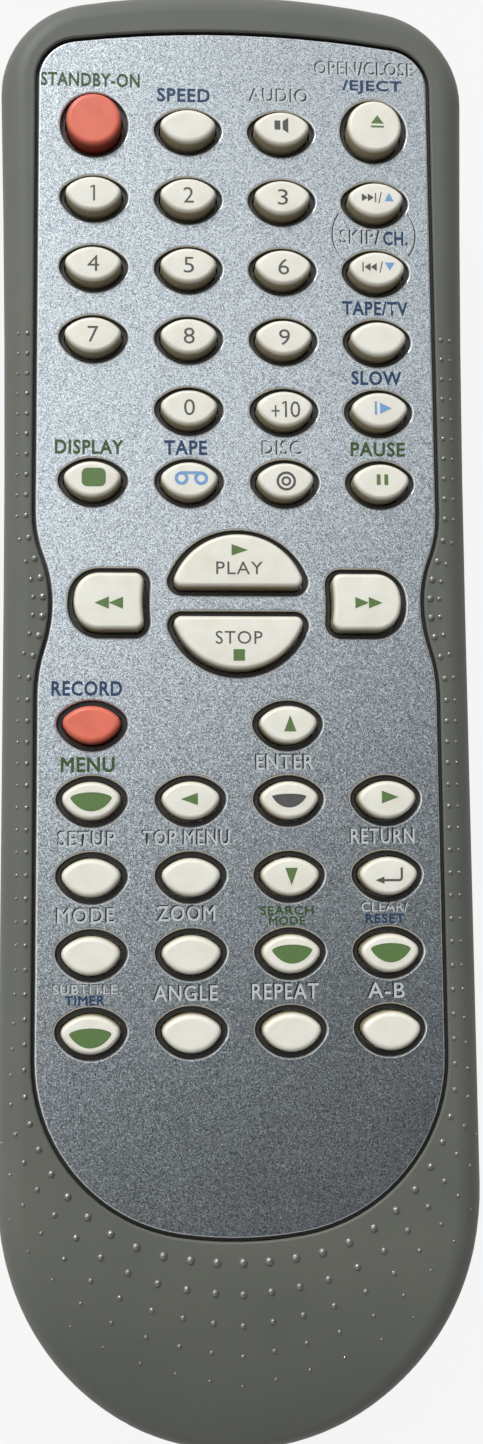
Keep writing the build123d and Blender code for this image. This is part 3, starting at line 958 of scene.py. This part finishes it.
KEY_SIGNS: dict[str, tuple[Mark, ...]] = {
    "audio": (Bar(Ink.GREY, -0.6, 0.4, 0.78, 1.27), Horn(Ink.GREY, 0.48, 0.38, 0.75, 2.15)),
    "eject": (Triangle(Ink.GREEN, 0.35, 0.87, 1.73, 1.16), Bar(Ink.GREEN, 0.35, -0.15, 1.75, 0.24)),
    "digit_1": one(0.0, 0.0),
    **{"digit_" + text: (digit(text, width),) for text, width in FIGURE_WIDTHS_MM.items()},
    "plus_ten": (
        Bar(Ink.GREY, -1.24, -0.35, 1.1, 0.2),
        Bar(Ink.GREY, -1.24, 0.1, 0.2, 0.68),
        Bar(Ink.GREY, -1.24, -0.8, 0.2, 0.68),
        *one(0.0, -0.1),
        digit("0", 1.28, 1.33, -0.1),
    ),
    "skip_forward": (
        Triangle(Ink.GREY, -1.53, 0.2, 1.1, 0.8, RIGHT),
        Triangle(Ink.GREY, -0.72, 0.2, 1.1, 0.8, RIGHT),
        Bar(Ink.GREY, -0.08, 0.2, 0.16, 1.3),
        Bar(Ink.GREY, 0.52, 0.2, 0.14, 1.6, -12.0),
        Triangle(Ink.SKY, 1.73, 0.33, 1.2, 1.2),
    ),
    "skip_back": (
        Bar(Ink.GREY, -1.93, 0.2, 0.16, 1.3),
        Triangle(Ink.GREY, -1.32, 0.2, 1.1, 0.8, LEFT),
        Triangle(Ink.GREY, -0.5, 0.2, 1.1, 0.8, LEFT),
        Bar(Ink.GREY, 0.49, 0.2, 0.14, 1.6, -12.0),
        Triangle(Ink.SKY, 1.64, 0.29, 1.3, 1.1, DOWN),
    ),
    "slow": (Bar(Ink.SKY, -0.56, 0.22, 0.3, 1.8), Triangle(Ink.SKY, 0.76, 0.2, 1.5, 1.56, RIGHT)),
    "display": (Bar(Ink.GREEN, 0.18, 0.2, 3.1, 2.44, corner=0.7),),
    "tape": (
        Ring(Ink.SKY, -1.02, 0.18, 1.8, 1.8, stroke=0.42),
        Ring(Ink.SKY, 1.49, 0.18, 1.8, 1.8, stroke=0.42),
        Bar(Ink.SKY, 0.235, 0.9, 2.3, 0.38),
    ),
    "disc": (
        Ring(Ink.GREY, 0.04, -0.07, 2.53, 2.53, stroke=0.32),
        Ring(Ink.GREY, 0.04, -0.07, 1.28, 1.28, stroke=0.28),
    ),
    "pause": (Bar(Ink.GREEN, -0.38, 0.24, 0.5, 1.42), Bar(Ink.GREEN, 0.62, 0.24, 0.5, 1.42)),
    "up": (Triangle(Ink.GREEN, 0.18, 0.13, 1.56, 2.09),),
    "down": (Triangle(Ink.GREEN, 0.13, 0.0, 1.6, 2.2, DOWN),),
    "left": (Triangle(Ink.GREEN, -0.19, 0.16, 1.56, 2.15, LEFT),),
    "right": (Triangle(Ink.GREEN, 0.33, 0.33, 1.64, 2.13, RIGHT),),
    "menu": (Patch(Ink.GREEN, 0.0, -0.14, 5.2, 2.4),),
    "search": (Patch(Ink.GREEN, 0.1, 0.0, 5.05, 2.36),),
    "clear": (Patch(Ink.GREEN, 0.04, 0.05, 5.05, 2.4),),
    "subtitle": (Patch(Ink.GREEN, 0.0, -0.38, 5.2, 2.42),),
    "enter": (Patch(Ink.GREY, -0.05, -0.08, 4.35, 1.75, crown=0.32),),
    "return": (
        Bar(Ink.GREY, 1.62, 0.43, 0.28, 1.22),
        Elbow(Ink.GREY, 1.51, -0.43, 0.5, 0.5),
        Bar(Ink.GREY, 0.31, -0.54, 1.9, 0.28),
        Triangle(Ink.GREY, -1.17, -0.54, 0.9, 1.12, LEFT),
    ),
    "rewind": tuple(Triangle(Ink.GREEN, x, 0.0, 1.6, 1.82, LEFT) for x in (-0.9, 0.9)),
    "fast_forward": tuple(Triangle(Ink.GREEN, x, 0.0, 1.5, 1.76, RIGHT) for x in (-0.88, 0.88)),
    "play": (
        Triangle(Ink.GREEN, 0.17, 17.76, 1.5, 2.1, RIGHT),
        Word(Ink.GREY, 0.13, 15.4, 6.0, 1.65, text="PLAY"),
    ),
    "stop": (
        Word(Ink.GREY, 0.0, 6.35, 6.0, 1.68, text="STOP"),
        Bar(Ink.GREEN, 0.0, 4.08, 1.46, 1.49),
    ),
}
# Where the signs of the middle keys are measured from, which isn't the middle of the key
SIGN_PLACES_MM: dict[str, Span] = {
    "rewind": (-16.6, 10.78),
    "fast_forward": (16.8, 10.93),
    "play": (0.0, 0.0),
    "stop": (0.0, 0.0),
}


@dataclass
class Case:
    """The two shells and the battery door."""

    plastic: MouldedPlastic = MouldedPlastic(
        "case_plastic_moulded", (106, 109, 101), (99, 102, 95), shine=0.3
    )
    # a near-black plastic for the recess under the plate: painted shade
    recess: MouldedPlastic = MouldedPlastic("case_plastic_recess_painted_shade", (40, 41, 38), (46, 47, 43))
    dot_gloss: MouldedPlastic = MouldedPlastic(
        "case_plastic_dots", (110, 113, 105), (103, 106, 99),
        grain_depth=0.002 * MM, roughness=0.24, shine=1.0, index=1.9,
    )
    level_facing: float = 0.99
    upright_facing: float = 0.05
    floor_slack: float = 0.02 * MM
    wall_depth: float = 1.7 * MM
    wall_rise: float = 0.7 * MM

    def in_recess(self, face: bpy.types.MeshPolygon, floor: float) -> bool:
        """Tells whether a face of the top shell lies in the recess under the plate.

        Args:
            face: the face.
            floor: how high the recess's floor lies.

        Returns:
            True on the floor and on the walls next to it.
        """
        if face.normal.z > self.level_facing:
            return abs(face.center.z - floor) < self.floor_slack
        upright = abs(face.normal.z) < self.upright_facing
        return upright and floor - self.wall_depth < face.center.z < floor + self.wall_rise

    def dress(self) -> None:
        """Gives the shells and the door their plastic, and the recess under the plate a near-black one,
        painted shade for the shadow there.
        """
        plastic = self.plastic.material()
        for node in ("top_shell", "bottom_shell", "battery_door"):
            dress_node(node, plastic)
        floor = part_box("faceplate")[0][2]
        # painted shade on the recess floor and on the walls beside it
        shade_faces("top_shell", self.recess.material(), lambda face: self.in_recess(face, floor))


@dataclass
class GripDots:
    """Raised dots in rows round the face: two along each side, more and wider apart over the palm.

    The rows start from the plate's rim, which is felt with rays. A value named for the palm holds in its
    middle, one named for the side holds along the sides, and between them the one goes over into the
    other. A dome is measured in shares of its own width.
    """

    plastic: MouldedPlastic
    side_clear: float = 1.2 * MM
    palm_clear: float = 2.85 * MM
    top_row: float = 47.5 * MM
    waist: float = 11.08 * MM
    waist_reach: float = 10 * MM
    palm_centre: float = -38.2 * MM
    palm_pitch: float = 3.02 * MM
    side_pitch: float = 2.67 * MM
    pitch_from: float = -45 * MM
    pitch_to: float = -5 * MM
    palm_gap: float = 3.85 * MM
    gap_loss: float = 0.17 * MM
    side_gap: float = 1.2 * MM
    palm_rows: int = 5
    side_rows: int = 2
    row_ease: float = 0.6
    fan: float = 0.78
    fan_gain: float = 0.22
    fan_until: float = 0.6
    side_width_mm: float = 0.64
    waist_gain_mm: float = 0.33
    palm_gain_mm: float = 0.46
    row_loss: float = 0.32
    palm_row_gain: float = 0.17
    dome_sides: int = 12
    dome_root: float = 0.12
    dome_steps: tuple[Span, ...] = ((0.22, 0.94), (0.13, 0.8), (0.09, 0.66), (0.04, 0.4))
    rim_level: float = 24.3 * MM
    rim_degrees: int = 88
    steps_in_degree: int = 5
    rim_step: float = 0.1 * MM
    rim_reach: int = 6
    ray_start: float = 0.08
    ray_height: float = 0.05
    mirrored_from: float = 0.1 * MM
    steepest: float = 0.55

    def dome(self) -> Piece:
        """Models one dot, a unit wide, that stands on the origin.

        Returns:
            The dot: a round foot, steps of a dome and a small flat crown.
        """
        deselect()
        dot = disc(self.dome_sides, 0.5)
        dot.location = (0.0, 0.0, -self.dome_root)
        settle(dot)
        with editing():
            for climb, narrow in self.dome_steps:
                bpy.ops.mesh.extrude_region_move(TRANSFORM_OT_translate={"value": (0.0, 0.0, climb)})
                bpy.ops.transform.resize(value=(narrow, narrow, 1.0), center_override=(0.0, 0.0, 0.0))
            bpy.ops.mesh.select_all(action="SELECT")
            bpy.ops.mesh.normals_make_consistent(inside=False)
        bpy.ops.object.shade_smooth()
        return dot

    def edge(self) -> list[Vector]:
        """Feels along the right half of the plate's rim, from the palm's middle up the side.

        Returns:
            The points met.
        """
        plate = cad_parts["faceplate"]
        found = []
        for step in range(self.rim_degrees * self.steps_in_degree):
            angle = math.radians(step / self.steps_in_degree)
            out = Vector((math.sin(angle), -math.cos(angle), 0.0))
            start = Vector((0.0, self.palm_centre, self.rim_level)) + out * self.ray_start
            hit, where, _, _ = plate.ray_cast(start, -out)
            if hit:
                found.append(where)
        along = found[-1].y
        while along < self.top_row:
            along += self.rim_step
            start = Vector((self.ray_start, along, self.rim_level))
            hit, where, _, _ = plate.ray_cast(start, Vector((-1.0, 0.0, 0.0)))
            if hit:
                found.append(where)
        return found

    def pitch(self, along: float) -> float:
        """Returns how far apart the dots stand at a place along the case."""
        share = (along - self.pitch_from) / (self.pitch_to - self.pitch_from)
        return self.palm_pitch + (self.side_pitch - self.palm_pitch) * min(1.0, max(0.0, share))

    def first_row(self) -> list[tuple[Vector, float]]:
        """Chooses the rim's points that carry dots.

        Returns:
            Each point, with the angle that the rim faces there, from the palm's.
        """
        rim = self.edge()
        chosen = [(rim[0], 0.0)]
        gone = 0.0
        for count in range(1, len(rim) - 1):
            gone += (rim[count] - rim[count - 1]).length
            if gone >= self.pitch(rim[count].y):
                gone = 0.0
                along = rim[min(len(rim) - 1, count + self.rim_reach)] - rim[max(0, count - self.rim_reach)]
                chosen.append((rim[count], math.atan2(along.y, along.x)))
        return chosen

    def width(self, along: float, palm: float, row: int) -> float:
        """Works out how wide a dot is.

        Args:
            along: the dot's place along the case.
            palm: 0 on the sides, 1 in the middle of the palm.
            row: how many rows lie between it and the plate.

        Returns:
            The width, smaller from row to row.
        """
        near_waist = math.exp(-(((along - self.waist) / self.waist_reach) ** 2))
        first = self.side_width_mm + self.waist_gain_mm * near_waist + self.palm_gain_mm * palm
        return first * (1.0 - (self.row_loss - self.palm_row_gain * palm) * row) * MM

    def rows(self) -> list[tuple[Vector, float]]:
        """Sets out the dots of the right half, seen from above.

        Returns:
            The middle of each dot, with its width.
        """
        found = []
        for count, (place, angle) in enumerate(self.first_row()):
            palm = max(0.0, math.cos(angle)) if place.y < self.palm_centre else 0.0
            gap = max(self.side_gap, self.palm_gap - self.gap_loss * count)
            start = self.side_clear + (self.palm_clear - self.side_clear) * palm
            straight = Vector((math.sin(angle), -math.cos(angle), 0.0))
            share = self.fan + self.fan_gain * max(0.0, 1.0 - angle / self.fan_until)
            fan = angle * share if palm > 0.0 else angle
            out = Vector((math.sin(fan), -math.cos(fan), 0.0))
            for row in range(max(self.side_rows, round(self.palm_rows * palm ** self.row_ease))):
                spot = place + straight * start + out * gap * row
                found.append((spot, self.width(place.y, palm, row)))
        return found

    def build(self) -> None:
        """Raises all the dots as one piece on the case."""
        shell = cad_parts["top_shell"]
        dome = self.dome()
        dots = []
        for spot, width in self.rows():
            for side in (1.0, -1.0) if spot.x > self.mirrored_from else (1.0,):
                above = Vector((spot.x * side, spot.y, self.ray_height))
                hit, where, normal, _ = shell.ray_cast(above, Vector((0.0, 0.0, -1.0)))
                if not hit or normal.z < self.steepest:
                    continue
                dot = bpy.data.objects.new("dot", dome.data.copy())
                turn = normal.to_track_quat("Z", "Y").to_matrix().to_4x4()
                size = Matrix.Diagonal((width, width, width, 1.0))
                dot.data.transform(Matrix.Translation(where) @ turn @ size)
                bpy.context.scene.collection.objects.link(dot)
                dots.append(dot)
        bpy.data.objects.remove(dome)
        whole = join(dots, "grip_dots")
        coat(whole, self.plastic.material())
        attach(whole, "remote")
        LOG.info("raised %d grip dots", len(dots))


@dataclass(frozen=True)
class Label:
    """A word beside a key: how far from the key's middle, how wide and how high."""

    key: str
    text: str
    ink: Ink
    x: float
    y: float
    width: float
    height: float = CAPITAL_MM


@dataclass
class FacePlate:
    """The lacquered sheet that the keys come up through, and the words printed on it."""

    press: Press
    lacquer: FlakeLacquer = FlakeLacquer("face_silver_flake", (206, 215, 220), (112, 120, 127))
    # pale finish for the plate's rounded edges: a painted highlight
    edge: PaintedHighlightEdge = PaintedHighlightEdge("face_silver_edge_highlight", (246, 248, 250), (232, 236, 239))
    highlight_facing: Span = (0.15, 0.95)
    labels: tuple[Label, ...] = (
        Label("standby", "STANDBY-ON", Ink.LEAF, -0.5, 6.34, 13.2),
        Label("display", "DISPLAY", Ink.LEAF, -0.45, 4.69, 8.9),
        Label("pause", "PAUSE", Ink.LEAF, -0.15, 4.79, 7.2),
        Label("menu", "MENU", Ink.LEAF, -0.5, 4.68, 6.8),
        Label("search", "SEARCH", Ink.LEAF, -0.35, 5.41, 6.8, 1.1),
        Label("search", "MODE", Ink.LEAF, -0.35, 4.11, 4.6, 1.1),
        Label("speed", "SPEED", Ink.NAVY, -0.55, 5.19, 7.1),
        Label("eject", "/EJECT", Ink.NAVY, -0.05, 6.34, 8.1),
        Label("skip_back", "CH.", Ink.NAVY, 2.75, 4.97, 3.3),
        Label("tv_select", "TAPE/TV", Ink.NAVY, -0.15, 4.81, 8.8),
        Label("slow", "SLOW", Ink.NAVY, -0.15, 4.85, 6.7),
        Label("tape", "TAPE", Ink.NAVY, -0.45, 4.74, 5.6),
        Label("record", "RECORD", Ink.NAVY, -0.65, 4.79, 9.0),
        Label("clear", "RESET", Ink.NAVY, -0.35, 4.3, 5.0, 1.2),
        Label("subtitle", "TIMER", Ink.NAVY, -0.75, 4.1, 5.0, 1.2),
        Label("audio", "AUDIO", Ink.PALE, -0.15, 5.39, 8.0),
        Label("eject", "OPEN/CLOSE", Ink.PALE, -0.95, 8.84, 13.5),
        Label("skip_back", "SKIP/", Ink.PALE, -1.9, 4.97, 5.4),
        Label("disc", "DISC", Ink.PALE, -0.25, 4.74, 5.2),
        Label("enter", "ENTER", Ink.PALE, -0.35, 4.93, 7.4),
        Label("setup", "SETUP", Ink.PALE, -0.55, 4.87, 7.25),
        Label("top_menu", "TOP MENU", Ink.PALE, -0.5, 4.97, 11.0),
        Label("return", "RETURN", Ink.PALE, -0.45, 5.07, 8.2),
        Label("mode", "MODE", Ink.PALE, -0.65, 4.91, 7.2),
        Label("zoom", "ZOOM", Ink.PALE, -0.55, 5.11, 7.3),
        Label("clear", "CLEAR/", Ink.PALE, -0.35, 5.75, 6.0, 1.2),
        Label("subtitle", "SUBTITLE", Ink.PALE, -0.75, 5.45, 8.0, 1.2),
        Label("angle", "ANGLE", Ink.PALE, -0.65, 4.85, 8.0),
        Label("repeat", "REPEAT", Ink.PALE, -0.65, 4.95, 8.4),
        Label("a_to_b", "A-B", Ink.PALE, -0.35, 4.95, 4.7),
    )
    plain: float = 0.008
    bold: float = 0.026
    shade_weight: float = 0.017
    shade_shift: Span = (-0.17, 0.14)
    shade_film: float = 0.5
    brackets: tuple[Triple, ...] = ((13.6, 61.2, 0.0), (23.9, 61.2, 180.0))
    bracket_width: float = 1.05
    bracket_height: float = 6.1

    def dress(self) -> None:
        """Gives the sheet its lacquer, and the sloped faces of its rounded edges a pale finish, a painted
        highlight.
        """
        dress_node("faceplate", self.lacquer.material())
        low, high = self.highlight_facing
        # painted highlight on the sloped faces of the rounded edges
        shade_faces("faceplate", self.edge.material(), lambda face: low < face.normal.z < high)

    def lettering(self, label: Label) -> Word:
        """Sets one word.

        Args:
            label: the word and its place by its key.

        Returns:
            The word, at its place on the sheet.
        """
        x, y = middle_mm("key_" + label.key)
        return Word(
            label.ink, x + label.x, y + label.y, label.width, label.height,
            text=label.text, weight=self.plain if label.ink is Ink.PALE else self.bold,
        )

    def shadow(self, mark: Mark) -> Mark:
        """Sets the dark copy that a pale mark stands over, as its painted shadow.

        Args:
            mark: the pale mark.

        Returns:
            The copy, a little up and left of it, and less so under small words.
        """
        share = min(1.0, mark.height / CAPITAL_MM)
        x, y = (place + shift * share for place, shift in zip((mark.x, mark.y), self.shade_shift))
        dark = replace(mark, ink=Ink.SHADE, x=x, y=y)
        if isinstance(dark, Word):
            dark = replace(dark, weight=self.shade_weight * share ** 2)
        return dark

    def build(self) -> None:
        """Prints the words, one piece for each ink; the pale ones stand over a dark copy, their painted
        shadow.
        """
        marks: dict[Ink, list[Mark]] = {
            ink: [self.lettering(label) for label in self.labels if label.ink is ink]
            for ink in (Ink.SHADE, Ink.LEAF, Ink.NAVY, Ink.PALE)
        }
        for x, y, turn in self.brackets:
            marks[Ink.PALE].append(Arc(Ink.PALE, x, y, self.bracket_width, self.bracket_height, turn))
        marks[Ink.SHADE] = [self.shadow(mark) for mark in marks[Ink.PALE]]
        level = Vector((0.0, 0.0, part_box("faceplate")[1][2]))
        for ink, words in marks.items():
            name = "words_" + ink.name.lower()
            share = self.shade_film if ink is Ink.SHADE else 1.0
            self.press.print_sign(name, tuple(words), level, "remote", Slot.FACE, share)


@dataclass
class KeyField:
    """All the keys: their rubber, and the signs printed on their caps."""

    press: Press
    ivory: SoftRubber = SoftRubber(
        "key_ivory_rubber", (244, 243, 232), (234, 229, 213), (255, 225, 190), (168, 156, 126)
    )
    red: SoftRubber = SoftRubber(
        "key_red_rubber", (238, 120, 96), (220, 103, 80), (255, 120, 90), (158, 62, 46)
    )
    red_keys: tuple[str, ...] = ("key_standby", "key_record")
    lowered: float = 0.025 * MM
    weld: float = 0.001 * MM
    crease: float = math.radians(35.0)

    def cap(self, node: str) -> None:
        """Makes the cap that stands for a printed key: its form, a film's thickness lower.

        Args:
            node: the key's name.
        """
        made = bpy.data.objects.new(node + "_cap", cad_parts[node].data.copy())
        bpy.context.scene.collection.objects.link(made)
        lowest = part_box(node)[1][2] - self.lowered
        pick(made)
        with editing():
            bpy.ops.mesh.remove_doubles(threshold=self.weld)
            bpy.ops.mesh.customdata_custom_splitnormals_clear()
        with editing(lambda place: place.z > lowest):
            bpy.ops.transform.translate(value=(0.0, 0.0, -self.lowered))
        bpy.ops.object.shade_smooth_by_angle(angle=self.crease)
        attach(made, node)
        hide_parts(node)
        LOG.info("capped %s with %s", node, made.name)

    def build(self) -> None:
        """Makes the printed caps and prints their signs."""
        for key, marks in KEY_SIGNS.items():
            node = "key_" + key
            self.cap(node)
            x, y = SIGN_PLACES_MM.get(key, middle_mm(node))
            at = Vector((x * MM, y * MM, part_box(node)[1][2] - self.lowered))
            self.press.print_sign("sign_" + key, marks, at, node, Slot.IVORY)

    def dress(self) -> None:
        """Gives each key its rubber."""
        ivory = self.ivory.material()
        red = self.red.material()
        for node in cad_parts:
            if node.startswith("key_") and node != "key_mat":
                dress_node(node, red if node in self.red_keys else ivory)
        for key in KEY_SIGNS:
            coat(bpy.data.objects["key_" + key + "_cap"], ivory)


@dataclass
class Inside:
    """What the case holds: the mat, the board with its parts, the cells and their contacts."""

    mat: SoftRubber = SoftRubber(
        "mat_silicone_grey", (176, 178, 176), (160, 162, 160), (220, 220, 220), (150, 152, 150)
    )
    board: BoardLaminate = BoardLaminate("board_green")
    epoxy: MouldedPlastic = MouldedPlastic(
        "chip_epoxy", (34, 34, 35), (42, 42, 43),
        grain=0.12 * MM, grain_depth=0.006 * MM, patch=4 * MM,
    )
    resonator: MouldedPlastic = MouldedPlastic(
        "resonator_dip", (40, 84, 150), (52, 98, 164),
        grain=0.6 * MM, grain_depth=0.01 * MM, patch=3 * MM,
    )
    sleeve: MouldedPlastic = MouldedPlastic(
        "capacitor_sleeve_film", (36, 42, 66), (48, 54, 80),
        grain=0.4 * MM, grain_depth=0.004 * MM, patch=3 * MM,
    )
    lens: TintedResin = TintedResin("lamp_resin", (70, 62, 92), (49, 43, 64))
    jacket: CellJacket = CellJacket("cell_film")
    nickel: PlatedMetal = PlatedMetal("contact_plating", (214, 208, 196), (178, 170, 156))
    steel: PlatedMetal = PlatedMetal("screw_plating", (176, 178, 182), (140, 140, 142), roughness=0.34)

    def dress(self) -> None:
        """Gives each inner piece its finish."""
        epoxy = self.epoxy.material()
        nickel = self.nickel.material()
        finishes = {
            "key_mat": self.mat.material(),
            "circuit_board": self.board.material(),
            "controller_chip": epoxy,
            "driver_transistor": epoxy,
            "ceramic_resonator": self.resonator.material(),
            "capacitor": self.sleeve.material(),
            "ir_led": self.lens.material(),
            "aa_cells": self.jacket.material(),
            "palm_contact": nickel,
            "front_contacts": nickel,
            "case_screw": self.steel.material(),
        }
        for node, finish in finishes.items():
            dress_node(node, finish)


@dataclass
class Studio:
    """The camera, the lamp, the floor and the sky round the part.

    The sky has a bright slope overhead, a window's glow over an even band below that, dimmer on the right,
    and a haze along the ground. Edges say how far a direction of the sky goes along the axis in question.
    """

    eye_mm: Triple = (-12.298, -26.25, 214.65)
    tilt: float = 0.114789
    pan: float = -0.065953
    roll: float = -0.000368
    lens_mm: float = 37.304
    sensor_mm: float = 36.0
    nearest: float = 5 * MM
    floor_width: float = 30.0
    floor_white: float = 0.85
    floor_glow: float = 1.06
    floor_bounce: float = 0.2
    floor_roughness: float = 0.8
    lamp_at: Triple = (-0.95, 2.2, 2.0)
    lamp_width: float = 0.26
    lamp_watts: float = 43.0
    sky_lean: Triple = (-0.7, 1.0, 0.0)
    sky_edges: Span = (-0.03, 0.24)
    sky_levels: Span = (0.07, 2.05)
    fade_edges: Span = (0.26, 0.5)
    fade_share: float = 0.36
    band_edges: Span = (0.68, 0.82)
    band_level: float = 0.34
    right_edges: Span = (0.15, 0.75)
    right_share: float = 0.22
    window_lean: Triple = (-0.28, 0.96, 0.0)
    window_edges: Span = (0.1, 0.9)
    window_level: float = 0.9
    haze_top: float = 0.14
    haze_level: float = 0.7

    def build(self) -> None:
        """Sets up the whole studio."""
        self.place_camera()
        self.lay_floor()
        self.hang_lamp()
        self.light_sky()
        bpy.context.scene.view_settings.view_transform = "Standard"

    def place_camera(self) -> None:
        """Puts the camera where the photograph was taken from."""
        bpy.ops.object.camera_add()
        camera = bpy.context.object
        camera.name = "camera"
        turn = Matrix.Identity(4)
        for angle, axis in ((self.tilt, "X"), (self.pan, "Y"), (self.roll, "Z")):
            turn = turn @ Matrix.Rotation(angle, 4, axis)
        camera.matrix_world = Matrix.Translation(Vector(self.eye_mm) * MM) @ turn
        camera.data.lens = self.lens_mm
        camera.data.sensor_width = self.sensor_mm
        camera.data.clip_start = self.nearest
        bpy.context.scene.camera = camera

    def lay_floor(self) -> None:
        """Lays a pale floor that shows nearly white and keeps the part's shadow."""
        floor = sheet(self.floor_width)
        floor.name = "floor"
        shader = Shader("floor_white")
        bounce = self.floor_bounce
        shader.set(Base_Color=(bounce, bounce, bounce, 1.0), Roughness=self.floor_roughness)
        ray = shader.node("LightPath").outputs
        seen = shader.math("MAXIMUM", ray["Is Camera Ray"], ray["Is Glossy Ray"])
        seen = shader.math("MAXIMUM", seen, ray["Is Transmission Ray"])
        share = shader.math("MULTIPLY", seen, self.floor_white)
        glow = shader.node("Emission", {"Color": WHITE, "Strength": self.floor_glow}).outputs[0]
        mix = shader.node("MixShader", {0: share, 1: shader.surface.outputs[0], 2: glow})
        shader.feed(shader.tree.nodes["Material Output"].inputs["Surface"], mix.outputs[0])
        floor.data.materials.append(shader.material)

    def hang_lamp(self) -> None:
        """Hangs one soft panel beyond the sending end, aimed at the part."""
        bpy.ops.object.light_add(type="AREA", location=self.lamp_at)
        lamp = bpy.context.object
        lamp.name = "window_panel"
        lamp.data.shape = "RECTANGLE"
        lamp.data.size = self.lamp_width
        lamp.data.size_y = self.lamp_width
        lamp.data.energy = self.lamp_watts
        lamp.rotation_mode = "QUATERNION"
        lamp.rotation_quaternion = (-Vector(self.lamp_at)).to_track_quat("-Z", "Y")

    def light_sky(self) -> None:
        """Lights the sky, brightest beyond the sending end and to the left, as by a window."""
        air = bpy.data.worlds.new("studio_air")
        bpy.context.scene.world = air
        sky = Air(air)
        slope = sky.ramp(self.sky_lean, self.sky_edges, self.sky_levels)
        fade = sky.ramp(ONWARD, self.fade_edges, (1.0, self.fade_share))
        over = sky.math("MULTIPLY", slope, fade)
        over = sky.math("MULTIPLY", over, sky.ramp(UPWARD, self.band_edges, (0.0, 1.0)))
        window = sky.ramp(self.window_lean, self.window_edges, (0.0, self.window_level))
        right = sky.ramp(RIGHTWARD, self.right_edges, (1.0, self.right_share))
        band = sky.math("MULTIPLY", sky.math("ADD", window, self.band_level), right)
        band = sky.math("MULTIPLY", band, sky.ramp(UPWARD, self.band_edges, (1.0, 0.0)))
        haze = sky.ramp(UPWARD, (0.0, self.haze_top), (self.haze_level, 0.0))
        light = sky.math("MAXIMUM", sky.math("ADD", over, band), haze)
        sky.feed(sky.surface.inputs["Color"], WHITE)
        sky.feed(sky.surface.inputs["Strength"], light)


def main() -> None:
    """Builds the sub-assemblies in order."""
    logging.basicConfig(level=logging.INFO, format="%(name)s: %(message)s")
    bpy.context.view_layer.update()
    press = Press()
    case = Case()
    case.dress()
    GripDots(case.dot_gloss).build()
    plate = FacePlate(press)
    plate.build()
    plate.dress()
    keys = KeyField(press)
    keys.build()
    keys.dress()
    Inside().dress()
    Studio().build()


if __name__ == "__main__":
    main()
